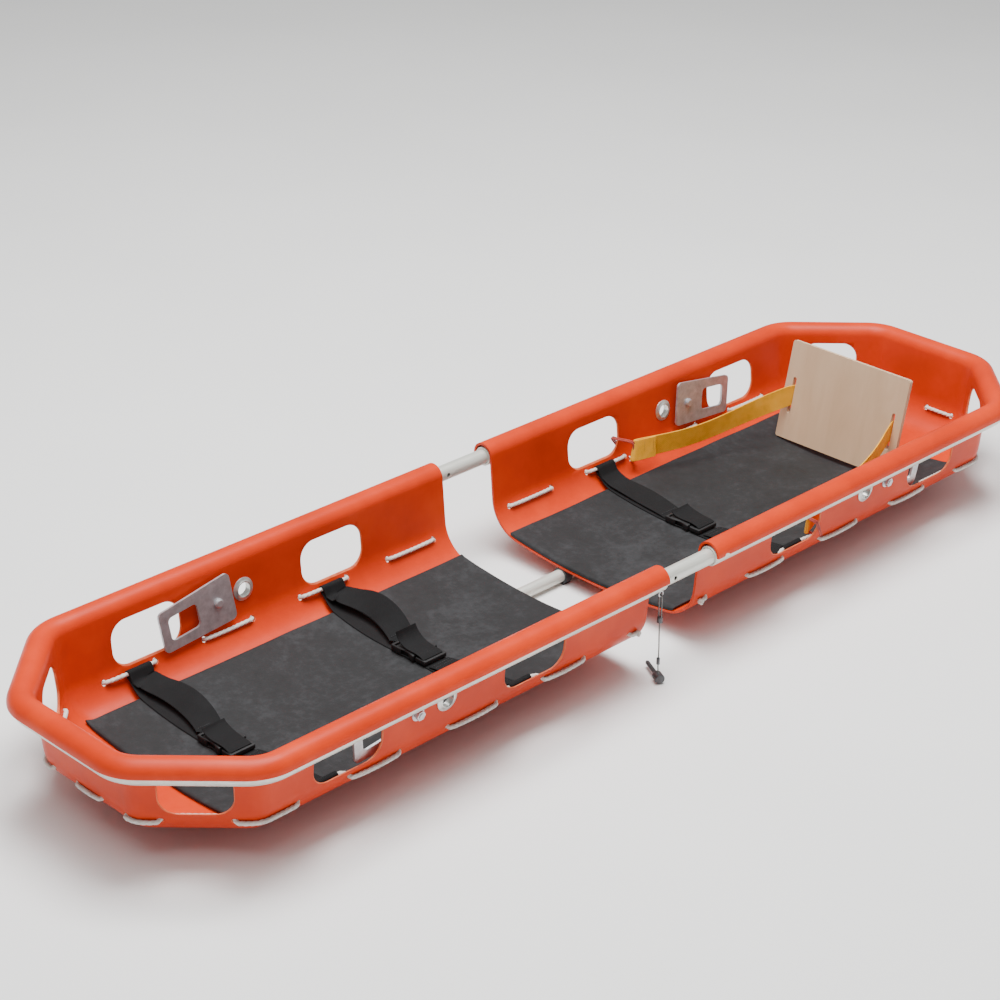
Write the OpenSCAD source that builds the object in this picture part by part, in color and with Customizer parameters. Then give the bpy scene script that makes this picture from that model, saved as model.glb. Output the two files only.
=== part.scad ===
// Two-piece plastic basket stretcher, shown with its halves drawn part of the way apart.
// X runs along the stretcher, Y across it and Z is up. Z = 0 is the surface it stands on.
// Each half is drawn with its split face at x = 0 and its end towards +X, then placed.

/* [Overall] */
// Length of each half, from its split face to the outside of its end rim
half_length = 1080; // [1060:10:1120]
// Width over the rim
overall_width = 624; // [610:2:640]
// Distance between the two split faces at rest
split_gap = 130; // [120:5:140]
// Height of the centre of the rolled rim above the ground
rim_height = 200; // [195:1:205]

/* [Shell] */
// Thickness of the moulded shell
shell_wall = 4.5; // [4:0.5:5]
// Outer radius of the rolled lip
lip_radius = 24; // [24:0.5:25]
// Height of the underside of the floor at the centre line
floor_height = 30; // [30:1:32]
// Radius of the shallow dish of the floor
floor_radius = 1300; // [1200:50:1500]
// Outer radius between floor and wall
corner_radius = 75; // [70:1:78]
// Length and width of the cut-off corners at each end
end_chamfer = 158; // [150:2:165]
// Bend radius of the rim at its corners
bend_radius = 75; // [70:1:80]

/* [Hand holes] */
// Width of a hand hole in a side wall
hand_hole_width = 145; // [120:5:150]
// Width of a hand hole in a cut-off corner
end_hole_width = 118; // [100:2:125]
// Height of every hand hole
hand_hole_height = 84; // [70:2:84]
// Corner radius of every hand hole
hand_hole_corner = 32; // [20:1:34]

/* [Tubes] */
// Outer diameter of the rim tube
tube_diameter = 38; // [36:1:38]
// Diameter of the two spigots that join the rim tubes
spigot_diameter = 30; // [28:1:30]
// Outer diameter of the runners under the floor
runner_diameter = 30; // [28:1:30]
// Distance between the two runners
runner_spacing = 150; // [140:5:160]
// Diameter of the two spigots that join the runners
keel_spigot_diameter = 25; // [22:1:25]

/* [Lifting plates] */
// Thickness of a lifting plate
plate_thickness = 4.5; // [4:0.5:5]
// Angle that each plate droops at rest
plate_droop = 7; // [5:1:8]

/* [Soft pieces] */
// Thickness of the floor mats
mat_thickness = 8; // [6:1:10]
// Diameter of the lacing rope
rope_diameter = 8; // [7:0.5:8]
// Width of a body strap
strap_width = 50; // [45:1:50]

/* [Footrest] */
// Width of the footrest board
board_width = 300; // [280:5:310]
// Height of the footrest board
board_height = 210; // [200:5:220]
// Thickness of the footrest board
board_thickness = 9; // [8:0.5:10]
// Angle that the board leans towards the end
board_lean = 12; // [10:1:14]

/* [Hidden] */
$fn = 48;

// Rim and plan of the shell
rim_y = overall_width / 2 - lip_radius;
rim_x = half_length - lip_radius;
bend_steps = 5;
min_plan_radius = 30;
tan_half = tan(22.5);

// Cross-section of the shell: a dished floor, a round corner, a straight wall and a rolled lip
corner_y = 186;
floor_centre_z = floor_height + floor_radius;
corner_z = floor_centre_z - sqrt(pow(floor_radius - corner_radius, 2) - pow(corner_y, 2));
floor_angle = asin(corner_y / (floor_radius - corner_radius));
lip_inner = lip_radius - shell_wall;
lip_to_corner = [rim_y - corner_y, rim_height - corner_z];
wall_tilt = acos((corner_radius + lip_inner) / norm(lip_to_corner))
    - atan2(lip_to_corner[1], lip_to_corner[0]);
skirt_angle = -5;
lip_steps = 9;
corner_steps = 7;
floor_stops = [0.75, 0.5, 0.27];

// A point of the cross-section, for a surface this far inside the outer one
function lip_point(inside, angle) =
    [rim_y + (lip_inner + inside) * cos(angle), rim_height + (lip_inner + inside) * sin(angle)];
function corner_point(inside, angle) =
    [corner_y + (corner_radius - inside) * cos(angle), corner_z + (corner_radius - inside) * sin(angle)];
function floor_point(inside, angle) =
    [(floor_radius - inside) * sin(angle), floor_centre_z - (floor_radius - inside) * cos(angle)];

function lip_curve(inside) =
    [for (i = [0:lip_steps])
        lip_point(inside, skirt_angle + i / lip_steps * (180 - wall_tilt - skirt_angle))];
function corner_curve(inside) =
    [for (i = [0:corner_steps])
        corner_point(inside, -wall_tilt + i / corner_steps * (floor_angle - 90 + wall_tilt))];
function floor_curve(inside) = [for (stop = floor_stops) floor_point(inside, floor_angle * stop)];
function section(inside) = concat(lip_curve(inside), corner_curve(inside), floor_curve(inside));

// Distance of the straight wall's surface from the centre line at a height
function wall_y(inside, z) =
    (rim_y * cos(wall_tilt) - rim_height * sin(wall_tilt) - lip_inner - inside
        + z * sin(wall_tilt)) / cos(wall_tilt);

// The plan of the shell at one level, from the near split edge round the end to the far one
function near_half_ring(inset, z) =
    let (r = max(bend_radius - inset, min_plan_radius))
    let (tangent = r * tan_half)
    let (side_y = inset - rim_y)
    let (side_end = rim_x - end_chamfer - inset * tan_half)
    let (end_x = rim_x - inset)
    let (end_y = end_chamfer - rim_y + inset * tan_half)
    concat(
        [[0, side_y, z]],
        [for (i = [0:bend_steps]) let (a = 45 * i / bend_steps)
            [side_end - tangent + r * sin(a), side_y + r - r * cos(a), z]],
        [for (i = [0:bend_steps]) let (a = 45 + 45 * i / bend_steps)
            [end_x - r + r * sin(a), end_y + tangent - r * cos(a), z]]
    );
function reversed(list) = [for (i = [len(list) - 1:-1:0]) list[i]];
function far_side(list) = [for (p = list) [p[0], -p[1], p[2]]];
function ring(inset, z) =
    let (near = near_half_ring(inset, z))
    concat(near, far_side(reversed(near)));
ring_size = 4 * (bend_steps + 1) + 2;

// Heights and places of the wall features, measured from the split face
hand_hole_z = 144;
hand_hole_places = [285, 708];
feature_z = 150;
bolt_place = 560;
grommet_place = 494;
bolt_radius = 5;
grommet_radius = 13;
pin_place = 25;
pin_radius = 4;

// The lacing rope runs at one level of the round corner
rope_radius = rope_diameter / 2;
rope_hole_radius = 5.5;
rope_tilt = 25;
rope_clear = shell_wall / 2 + rope_radius + 0.4;
rope_side_holes = [38, 155, 258, 370, 483, 592, 700, 808];
rope_end_holes = [95, 32];
rope_chamfer_holes = [0.2, 0.8];
rope_bow = 11.5;
function rope_inset(out) = rim_y - corner_y - (corner_radius - shell_wall / 2 + out) * cos(rope_tilt);
function rope_z(out) = corner_z - (corner_radius - shell_wall / 2 + out) * sin(rope_tilt);
function side_at(place, out) = [place, rope_inset(out) - rim_y, rope_z(out)];
function chamfer_at(part, out) =
    let (s = rope_inset(out))
    let (start = [rim_x - end_chamfer - s * tan_half, s - rim_y, rope_z(out)])
    let (finish = [rim_x - s, end_chamfer - rim_y + s * tan_half, rope_z(out)])
    start + part * (finish - start);
function end_at(y, out) = [rim_x - rope_inset(out), y, rope_z(out)];

// A rope passes through a hole in four short steps; way is 1 going in and -1 coming out
pass_steps = [[-3, rope_clear], [-0.8, 2.2], [0.8, -2.2], [3, -rope_clear]];
function side_pass(place, way) = [for (s = pass_steps) side_at(place + s[0], way * s[1])];
function chamfer_pass(part, way) = [for (s = pass_steps) chamfer_at(part + s[0] / 200, way * s[1])];
function end_pass(y, way) = [for (s = pass_steps) end_at(y + s[0], way * s[1])];
function bend_at(first, out) =
    let (points = ring(rope_inset(out), rope_z(out)))
    [for (i = [0, 2, 5]) points[first + i]];
function held_by_strap(place, strap_places) =
    len([for (s = strap_places) if (s > place && s < place + 115) s]) > 0;
function side_run(place, strap_places) =
    held_by_strap(place, strap_places)
        ? [side_at(place + 14, -rope_bow), side_at(place + 88, -rope_bow)]
        : [];
function near_rope(strap_places) =
    concat(
        [side_at(24, rope_clear)],
        [for (i = [0:len(rope_side_holes) - 1])
            each concat(
                side_pass(rope_side_holes[i], i % 2 == 0 ? 1 : -1),
                i % 2 == 0 ? side_run(rope_side_holes[i], strap_places) : []
            )],
        bend_at(1, rope_clear),
        chamfer_pass(rope_chamfer_holes[0], 1),
        chamfer_pass(rope_chamfer_holes[1], -1),
        bend_at(bend_steps + 2, rope_clear),
        end_pass(-rope_end_holes[0], 1),
        end_pass(-rope_end_holes[1], -1)
    );
function rope_route(strap_places) =
    let (near = near_rope(strap_places))
    concat(near, far_side(reversed(near)));

// Straps: each is looped over a bowed run of the rope and lies across the mat to a buckle
chest_strap_place = 302;
head_strap_place = 740;
strap_thickness = 2.5;
mat_clearance = 0.5;
mat_start = 0.5;
mat_length = 879;
mat_columns = 5;
mat_top = shell_wall + mat_clearance + mat_thickness;
rope_eye = [for (p = [side_at(0, -rope_bow)]) [-p[1], p[2]]][0];
strap_angles = [1.66, 2.37, 4.5, 6, 7.4, 8.7];
strap_climb = [18, 34, 48];

// Buckles lie on the mat at the centre line, across the stretcher
buckle_width = 60;
socket_far = 52;
socket_near = -8;
buckle_height = 15;
tongue_near = -36;
buckle_base = floor_height + mat_top + 1.5;

// Runners, their feet and saddles
foot_radius = 16.5;
foot_flat = 20;
runner_length = 850;
saddle_places = [60, 420, 790];
saddle_width = 26;
rivet_radius = 2.5;
rivet_reach = 27;
rim_tube_drop = 4;
weld_gap = 0.05;
sliding_clearance = 0.06;
tube_z = rim_height - rim_tube_drop;
rim_spigot_fixed = 160;
rim_spigot_free = 80;

// Footrest board
board_place = 735;
board_rise = floor_centre_z + 0.6 + board_thickness * sin(board_lean)
    - sqrt(pow(floor_radius - mat_top, 2) - pow(board_width / 2, 2));
slot_height = 78;
slot_width = 8;
slot_inset = 22;
slot_middle = 95;
web_thickness = 2.5;
web_width = 44;
slot_y = board_width / 2 - slot_inset;
slot_x = board_place + slot_middle * sin(board_lean) + board_thickness / 2;
slot_z = board_rise + slot_middle * cos(board_lean);
loop_place = 364.5;
loop_z = 106.5;
loop_radius = 34.5;
loop_cord_radius = 2.5;
loop_turn = -55.6;
loop_hole_reach = 33.2;

// Locking pin and its lanyard, on the near rim of the left half
eye_x = -split_gap / 2 - 11;
eye_y = 15 - overall_width / 2 - 4;
eye_z = 178;
wire_radius = 1.25;
lanyard_route = [
    [-76, -301, 121], [-76, -301, 108], [-76, -301, 95], [-75.5, -301, 82], [-75, -301, 69],
    [-75, -301, 56], [-75.5, -301, 43], [-76, -301.5, 31], [-76.5, -303, 21], [-77.5, -306, 13.5],
    [-79.5, -310, 10.4]
];
pin_heading = 63;
pin_start = [-80, -312, 10];

module place_left() {
    translate([-split_gap / 2, 0, 0])
        mirror([1, 0, 0])
            children();
}

module place_right() {
    translate([split_gap / 2, 0, 0])
        children();
}

module both_sides() {
    children();
    mirror([0, 1, 0])
        children();
}

// Puts children on the far wall's middle surface, with local +Z into the basket and +Y up
module on_far_wall(place, z) {
    translate([place, wall_y(shell_wall / 2, z), z])
        rotate([90 - wall_tilt, 0, 0])
            children();
}

// A closed tube of straight facets through a list of points
function unit(v) = v / norm(v);
module swept_tube(path, radius, sides, up) {
    last = len(path) - 1;
    points = [for (i = [0:last])
        let (ahead = unit(path[min(i + 1, last)] - path[max(i - 1, 0)]))
        let (across = unit(cross(ahead, up)))
        let (over = cross(across, ahead))
        for (k = [0:sides - 1])
            path[i] + radius * (cos(360 * k / sides) * across + sin(360 * k / sides) * over)];
    faces = concat(
        [[for (k = [sides - 1:-1:0]) k]],
        [[for (k = [0:sides - 1]) last * sides + k]],
        [for (i = [0:last - 1]) for (k = [0:sides - 1])
            [i * sides + k, i * sides + (k + 1) % sides,
             (i + 1) * sides + (k + 1) % sides, (i + 1) * sides + k]]
    );
    polyhedron(points, faces, convexity = 10);
}

module rounded_prism(width, height, corner, depth) {
    linear_extrude(depth, center = true)
        rounded_rectangle(width, height, corner);
}

module rounded_rectangle(width, height, corner) {
    square([width, height - 2 * corner], center = true);
    square([width - 2 * corner, height], center = true);
    for (x = [-1, 1]) {
        for (y = [-1, 1]) {
            translate([x * (width / 2 - corner), y * (height / 2 - corner)])
                circle(corner);
        }
    }
}

// Shell
module shell_blank() {
    visible = section(shell_wall);
    hidden = section(0);
    levels = len(visible);
    last = levels - 1;
    points = concat(
        [for (p = visible) each ring(rim_y - p[0], p[1])],
        [for (p = hidden) each ring(rim_y - p[0], p[1])]
    );
    base = levels * ring_size;
    end = ring_size - 1;
    skins = [for (l = [0:last - 1]) for (i = [0:end - 1])
        let (a = l * ring_size + i)
        each [
            [a, a + ring_size, a + ring_size + 1, a + 1],
            [base + a, base + a + 1, base + a + ring_size + 1, base + a + ring_size]
        ]];
    skirt_edge = [for (i = [0:end - 1]) [i, i + 1, base + i + 1, base + i]];
    floor_top = [for (i = [end:-1:0]) last * ring_size + i];
    floor_bottom = [for (i = [0:end]) base + last * ring_size + i];
    split_face = concat(
        [for (l = [last:-1:0]) l * ring_size],
        [for (l = [0:last]) base + l * ring_size],
        [for (l = [last:-1:0]) base + l * ring_size + end],
        [for (l = [0:last]) l * ring_size + end]
    );
    polyhedron(points, concat(skins, skirt_edge, [floor_top, floor_bottom, split_face]), convexity = 12);
}

module rope_hole(point, heading) {
    translate(point)
        rotate([0, 90 + rope_tilt, heading])
            cylinder(r = rope_hole_radius, h = 24, center = true);
}

module shell_cuts() {
    chamfer_middle = chamfer_at(0.5, 0);
    both_sides() {
        for (place = hand_hole_places) {
            translate([place, wall_y(0, hand_hole_z), hand_hole_z])
                rotate([90, 0, 0])
                    rounded_prism(hand_hole_width, hand_hole_height, hand_hole_corner, 60);
        }
        translate([chamfer_middle[0], -chamfer_middle[1], hand_hole_z])
            rotate([0, 0, -45])
                rotate([90, 0, 0])
                    rounded_prism(end_hole_width, hand_hole_height, hand_hole_corner, 60);
        on_far_wall(bolt_place, feature_z)
            cylinder(r = bolt_radius, h = 30, center = true);
        on_far_wall(grommet_place, feature_z)
            cylinder(r = grommet_radius + 3, h = 30, center = true);
        for (place = rope_side_holes) {
            rope_hole(side_at(place, 0), -90);
        }
        for (part = rope_chamfer_holes) {
            rope_hole(chamfer_at(part, 0), -45);
        }
        for (y = rope_end_holes) {
            rope_hole(end_at(y, 0), 0);
        }
        for (place = saddle_places) {
            for (side = [-1, 1]) {
                translate([place, runner_spacing / 2 + side * rivet_reach, floor_height])
                    cylinder(r = rivet_radius, h = 30, center = true);
            }
        }
    }
}

module loop_holes() {
    place = loop_place + loop_hole_reach * cos(loop_turn);
    z = loop_z + loop_hole_reach * sin(loop_turn);
    both_sides() {
        on_far_wall(place, z)
            cylinder(r = loop_cord_radius + 1.7, h = 40, center = true);
    }
}

module left_shell() {
    color("orangered")
        place_left()
            difference() {
                shell_blank();
                shell_cuts();
            }
}

module right_shell() {
    color("orangered")
        place_right()
            difference() {
                shell_blank();
                shell_cuts();
                loop_holes();
                both_sides() {
                    translate([pin_place, overall_width / 2 - 6, tube_z])
                        rotate([-90, 0, 0])
                            cylinder(r = pin_radius + 2.5, h = 20, center = true);
                }
            }
}

// Rim tube: straight sides, bent corners and an end, butted together in one plane
module rim_tube() {
    outer = tube_diameter / 2;
    inner = spigot_diameter / 2 + sliding_clearance;
    tangent = bend_radius * tan_half;
    chamfer_run = end_chamfer * sqrt(2) - 2 * tangent;
    end_run = 2 * (rim_y - end_chamfer - tangent - weld_gap);
    translate([0, 0, tube_z]) {
        both_sides() {
            translate([0, rim_y, 0])
                hollow_rod(0, rim_x - end_chamfer - tangent - weld_gap, outer, inner);
            translate([rim_x - end_chamfer / 2, rim_y - end_chamfer / 2, 0])
                rotate([0, 0, -45]) {
                    hollow_rod(weld_gap - chamfer_run / 2, chamfer_run - 2 * weld_gap, outer, inner);
                    translate([chamfer_run / 2, -bend_radius, 0])
                        rotate([0, 0, 45])
                            hollow_bend(outer, inner);
                    translate([-chamfer_run / 2, -bend_radius, 0])
                        rotate([0, 0, 90])
                            hollow_bend(outer, inner);
                }
        }
        translate([rim_x, -end_run / 2, 0])
            rotate([0, 0, 90])
                hollow_rod(0, end_run, outer, inner);
    }
}

module hollow_bend(outer, inner) {
    rotate_extrude(angle = 45)
        translate([bend_radius, 0])
            difference() {
                circle(outer);
                circle(inner);
            }
}

module pin_hole(place) {
    both_sides() {
        translate([place, rim_y, tube_z])
            rotate([90, 0, 0])
                cylinder(r = pin_radius + 0.2, h = 60, center = true);
    }
}

module left_rim_tube() {
    color("lightgray")
        place_left()
            rim_tube();
}

module right_rim_tube() {
    color("lightgray")
        place_right()
            difference() {
                rim_tube();
                pin_hole(pin_place);
            }
}

// The spigots are held in the left half and slide in the right one
module hollow_rod(start, length, outer, inner) {
    translate([start, 0, 0])
        rotate([0, 90, 0])
            difference() {
                cylinder(r = outer, h = length);
                translate([0, 0, -1])
                    cylinder(r = inner, h = length + 2);
            }
}

module rim_spigots() {
    color("gainsboro")
        difference() {
            both_sides() {
                translate([-split_gap / 2 - rim_spigot_fixed, rim_y, tube_z])
                    hollow_rod(0, rim_spigot_fixed + split_gap + rim_spigot_free, spigot_diameter / 2,
                        spigot_diameter / 2 - 3);
            }
            translate([pin_place - split_gap / 2, 0, 0])
                pin_hole(0);
        }
}

module keel_spigots() {
    color("gainsboro")
        both_sides() {
            translate([-split_gap / 2 - rim_spigot_fixed, runner_spacing / 2, foot_radius])
                hollow_rod(0, rim_spigot_fixed + split_gap + rim_spigot_free, keel_spigot_diameter / 2,
                    keel_spigot_diameter / 2 - 3);
        }
}

// Runners
foot_length = 18;
module runners() {
    both_sides() {
        translate([foot_length, runner_spacing / 2, foot_radius])
            hollow_rod(0, runner_length - foot_length, runner_diameter / 2,
                keel_spigot_diameter / 2 + sliding_clearance);
    }
}

// A foot is a collar with a flat underneath and another on top, clear of the shell
module foot_blank() {
    difference() {
        union() {
            rotate([0, 90, 0])
                cylinder(r = foot_radius, h = foot_length);
            translate([0, -foot_flat / 2, -foot_radius])
                cube([foot_length, foot_flat, foot_radius]);
        }
        translate([-1, -foot_radius, runner_diameter / 2])
            cube([foot_length + 2, 2 * foot_radius, foot_radius]);
    }
}

module runner_feet() {
    both_sides() {
        translate([0, runner_spacing / 2, foot_radius])
            difference() {
                foot_blank();
                translate([-1, 0, 0])
                    rotate([0, 90, 0])
                        cylinder(r = keel_spigot_diameter / 2 + sliding_clearance, h = foot_length + 2);
            }
        translate([runner_length, runner_spacing / 2, foot_radius])
            foot_blank();
    }
}

// A saddle is a band round the runner with a flange on each side, riveted up through the floor
module runner_saddles() {
    both_sides() {
        for (place = saddle_places) {
            translate([place - saddle_width / 2, runner_spacing / 2, 0])
                difference() {
                    union() {
                        saddle_band();
                        saddle_flange(7.5);
                        saddle_flange(-37);
                    }
                    translate([-1, 0, foot_radius])
                        rotate([0, 90, 0])
                            cylinder(r = runner_diameter / 2, h = saddle_width + 2);
                }
        }
    }
}

module saddle_band() {
    difference() {
        translate([0, 0, foot_radius])
            rotate([0, 90, 0])
                cylinder(r = foot_radius, h = saddle_width);
        translate([-1, -foot_radius, 31])
            cube([saddle_width + 2, 2 * foot_radius, 10]);
    }
}

// The flange's top stays just under the floor, which is lowest at the flange's inner edge
module saddle_flange(start) {
    top = floor_centre_z - sqrt(pow(floor_radius, 2) - pow(runner_spacing / 2 + start, 2)) - 0.1;
    translate([0, start, top - 2])
        cube([saddle_width, 29.5, 2]);
}

module saddle_rivets() {
    both_sides() {
        for (place = saddle_places) {
            for (side = [-1, 1]) {
                y = runner_spacing / 2 + side * rivet_reach;
                under = floor_centre_z - sqrt(pow(floor_radius, 2) - pow(y, 2));
                translate([place, y, under - 5.5])
                    cylinder(r = rivet_radius, h = 10);
                translate([place, y, under - 7.5])
                    cylinder(r = 5, h = 2);
            }
        }
    }
}

// Mat: it follows the shell's floor, which rises towards the end and its cut-off corners
function floor_reach(x, y) =
    max(
        abs(y),
        x - (rim_x - rim_y) + 3,
        rim_y - (rim_x + rim_y - end_chamfer - x - abs(y)) / sqrt(2) + 3
    );
module mat() {
    levels = reversed(concat(corner_curve(shell_wall), floor_curve(shell_wall)));
    far = [for (i = [0:mat_columns - 1]) levels[i][0]];
    columns = concat([for (y = reversed(far)) -y], far);
    rows = concat([mat_start], [for (x = [740:15:870]) x], [mat_start + mat_length]);
    size = len(columns);
    last = (len(rows) - 1) * size;
    top = last + size;
    points = [for (rise = [mat_clearance, mat_clearance + mat_thickness])
        for (x = rows)
            for (y = columns)
                [x, y, lookup(floor_reach(x, y), levels) + rise]];
    skins = [for (r = [0:len(rows) - 2])
        for (c = [0:size - 2])
            let (a = r * size + c)
            each [
                [a, a + size, a + size + 1],
                [a, a + size + 1, a + 1],
                [top + a, top + a + 1, top + a + size + 1],
                [top + a, top + a + size + 1, top + a + size]
            ]];
    sides = [for (a = [0:size:last - size])
        let (b = a + size - 1)
        each [[a, top + a, top + a + size, a + size], [b, b + size, top + b + size, top + b]]];
    ends = [for (a = [0:size - 2])
        let (b = last + a)
        each [[a + 1, top + a + 1, top + a, a], [b, top + b, top + b + 1, b + 1]]];
    polyhedron(points, concat(skins, sides, ends), convexity = 6);
}

// Lacing rope with a stopper knot at each end
module rope(strap_places) {
    swept_tube(rope_route(strap_places), rope_radius, 8, [0, 0, 1]);
    both_sides() {
        translate(side_at(20, rope_clear + 1.5))
            sphere(r = rope_radius + 2.5, $fn = 24);
    }
}

// Grommet: a sleeve through the wall with a flange on each side
module grommets() {
    both_sides() {
        on_far_wall(grommet_place, feature_z)
            difference() {
                union() {
                    cylinder(r = grommet_radius + 3, h = shell_wall + 9, center = true);
                    for (side = [-1, 1]) {
                        translate([0, 0, side * (shell_wall / 2 + 1.5)])
                            cylinder(r = 22, h = 2.6, center = true);
                    }
                }
                cylinder(r = grommet_radius, h = 40, center = true);
            }
    }
}

// Lifting plates, drawn with the bolt hole at the origin
plate_gap = 8;
plate_z = shell_wall / 2 + plate_gap;
plate_tail = 34;
plate_reach = 126;
plate_half_tail = 46;
plate_half_reach = 40;
plate_corner = 10;
module plate_outline() {
    hull() {
        for (side = [-1, 1]) {
            translate([plate_corner - plate_tail, side * (plate_half_tail - plate_corner)])
                circle(plate_corner, $fn = 32);
            translate([plate_reach - plate_corner, side * (plate_half_reach - plate_corner)])
                circle(plate_corner, $fn = 32);
        }
    }
}

module lifting_plate() {
    on_far_wall(bolt_place, feature_z)
        rotate([0, 0, -plate_droop])
            translate([0, 0, plate_z])
                difference() {
                    linear_extrude(plate_thickness)
                        plate_outline();
                    translate([0, 0, -1])
                        cylinder(r = bolt_radius + 0.05, h = plate_thickness + 2);
                    translate([76, 0, plate_thickness / 2])
                        rounded_prism(64, 46, 9, plate_thickness + 2);
                }
}

module left_far_plate() {
    color("silver")
        place_left()
            lifting_plate();
}

module left_near_plate() {
    color("silver")
        place_left()
            mirror([0, 1, 0])
                lifting_plate();
}

module right_far_plate() {
    color("silver")
        place_right()
            lifting_plate();
}

module right_near_plate() {
    color("silver")
        place_right()
            mirror([0, 1, 0])
                lifting_plate();
}

module plate_spacers() {
    both_sides() {
        on_far_wall(bolt_place, feature_z)
            translate([0, 0, shell_wall / 2 + 0.05])
                difference() {
                    cylinder(r = 11, h = plate_gap - 0.15);
                    translate([0, 0, -1])
                        cylinder(r = bolt_radius, h = plate_gap + 2);
                }
    }
}

module plate_bolts() {
    head_z = plate_z + plate_thickness + 0.1;
    both_sides() {
        on_far_wall(bolt_place, feature_z) {
            translate([0, 0, -14])
                cylinder(r = bolt_radius, h = 14 + head_z);
            translate([0, 0, head_z])
                cylinder(r = 9, h = 3);
            translate([0, 0, head_z + 3])
                cylinder(r1 = 9, r2 = 6, h = 2.5, $fn = 48);
        }
    }
}

module plate_nuts() {
    both_sides() {
        on_far_wall(bolt_place, feature_z)
            difference() {
                union() {
                    translate([0, 0, -shell_wall / 2 - 2.1])
                        cylinder(r = 13, h = 2);
                    translate([0, 0, -shell_wall / 2 - 10.1])
                        cylinder(r = 9.2, h = 8, $fn = 6);
                }
                cylinder(r = bolt_radius, h = 40, center = true);
            }
    }
}

// Straps
function strap_line(inside) =
    concat(
        [for (a = strap_angles) floor_point(inside, a)],
        [for (a = strap_climb) corner_point(inside, a - 90)]
    );
module strap_side(place, start_angles) {
    under = strap_line(mat_top + 0.8);
    over = strap_line(mat_top + 0.8 + 2 * strap_thickness);
    translate([place - strap_width / 2, 0, 0])
        rotate([90, 0, 90])
            linear_extrude(strap_width)
                difference() {
                    union() {
                        polygon(concat(
                            [for (i = [start_angles:len(under) - 1]) under[i]],
                            [rope_eye + [5.5, -2], rope_eye + [-5.5, 3]],
                            [for (i = [len(over) - 1:-1:start_angles]) over[i]]
                        ));
                        translate(rope_eye)
                            circle(rope_radius + 0.4 + strap_thickness);
                    }
                    translate(rope_eye)
                        circle(rope_radius + 0.4);
                }
}

module far_strap(place) {
    strap_side(place, 1);
}

module near_strap(place) {
    mirror([0, 1, 0])
        strap_side(place, 0);
}

// Side-release buckle: a socket with a mouth towards the near side, and a tongue that slides in it
module buckle_socket(place) {
    translate([place - buckle_width / 2, socket_near, buckle_base])
        difference() {
            cube([buckle_width, socket_far - socket_near, buckle_height]);
            translate([6, -1, 3.5])
                cube([buckle_width - 12, 45, buckle_height - 7]);
        }
}

module buckle_tongue(place) {
    translate([place, 0, buckle_base + buckle_height / 2]) {
        translate([-22, socket_near - 0.4, -3])
            cube([44, 42, 6]);
        translate([-27, tongue_near, -4.5])
            difference() {
                cube([54, socket_near - 0.4 - tongue_near, 9]);
                translate([5, 6, -1])
                    cube([44, 6, 11]);
            }
    }
}

// Footrest
module on_board() {
    translate([board_place, 0, board_rise])
        rotate([0, board_lean, 0])
            children();
}

module board_blank() {
    translate([board_thickness / 2, 0, board_height / 2])
        rotate([90, 0, 90])
            rounded_prism(board_width, board_height, 5, board_thickness);
}

module footrest_board() {
    color("tan")
        place_right()
            on_board()
                difference() {
                    board_blank();
                    for (side = [-1, 1]) {
                        translate([board_thickness / 2, side * slot_y, slot_middle])
                            rotate([90, 0, 90])
                                rounded_prism(slot_width, slot_height, 3.5, board_thickness + 2);
                    }
                }
}

module footrest_back_strap() {
    color("orange")
        place_right()
            on_board()
                translate([board_thickness + 0.4, -slot_y - 1, slot_middle - web_width / 2])
                    cube([web_thickness, 2 * slot_y + 2, web_width]);
}

module footrest_side_strap() {
    start_x = loop_place + 4;
    start_y = wall_y(shell_wall, loop_z) - loop_radius - 5;
    board_x = slot_x - board_thickness - 1;
    far_end = slot_y + 1;
    pieces = 6;
    sag = 12;
    function at(t) = [start_x + t * (board_x - start_x), start_y + t * (far_end - start_y),
        loop_z + 6 + t * (slot_z - loop_z - 6) - sag * 4 * t * (1 - t)];
    upper = [for (i = [0:pieces]) at(i / pieces) + [0, 0, web_width / 2]];
    lower = [for (i = [0:pieces]) at(i / pieces) - [0, 0, web_width / 2]];
    across = [web_thickness / 2, web_thickness, 0];
    points = concat(
        [for (p = upper) p - across], [for (p = upper) p + across],
        [for (p = lower) p - across], [for (p = lower) p + across]
    );
    n = pieces + 1;
    faces = concat(
        [for (i = [0:pieces - 1]) each [
            [i, n + i, n + i + 1, i + 1],
            [2 * n + i, 2 * n + i + 1, 3 * n + i + 1, 3 * n + i],
            [i, i + 1, 2 * n + i + 1, 2 * n + i],
            [n + i, 3 * n + i, 3 * n + i + 1, n + i + 1]
        ]],
        [[0, 2 * n, 3 * n, n], [pieces, n + pieces, 3 * n + pieces, 2 * n + pieces]]
    );
    polyhedron(points, faces, convexity = 4);
}

module footrest_far_strap() {
    color("orange")
        place_right()
            footrest_side_strap();
}

module footrest_near_strap() {
    color("orange")
        place_right()
            mirror([0, 1, 0])
                footrest_side_strap();
}

module footrest_loops() {
    color("darkorange")
        place_right()
            both_sides() {
                on_far_wall(loop_place, loop_z)
                    rotate([0, 0, loop_turn])
                        rotate([90, 0, 0])
                            rotate_extrude()
                                translate([loop_radius, 0])
                                    circle(loop_cord_radius, $fn = 24);
            }
}

// Lanyard and locking pin
module lanyard_eye() {
    color("silver")
        translate([eye_x, eye_y, eye_z])
            rotate([90, 0, 0])
                rotate_extrude()
                    translate([5, 0])
                        circle(1.3, $fn = 24);
}

module lanyard_loop() {
    color("silver")
        translate([eye_x, eye_y, eye_z - 5])
            rotate([90, 0, 90]) {
                rotate_extrude(angle = 180)
                    translate([3.2, 0])
                        circle(wire_radius, $fn = 24);
                for (side = [-1, 1]) {
                    translate([side * 3.2, 0, 0])
                        rotate([90, 0, 0])
                            cylinder(r = wire_radius, h = 42, $fn = 24);
                }
            }
}

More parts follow.
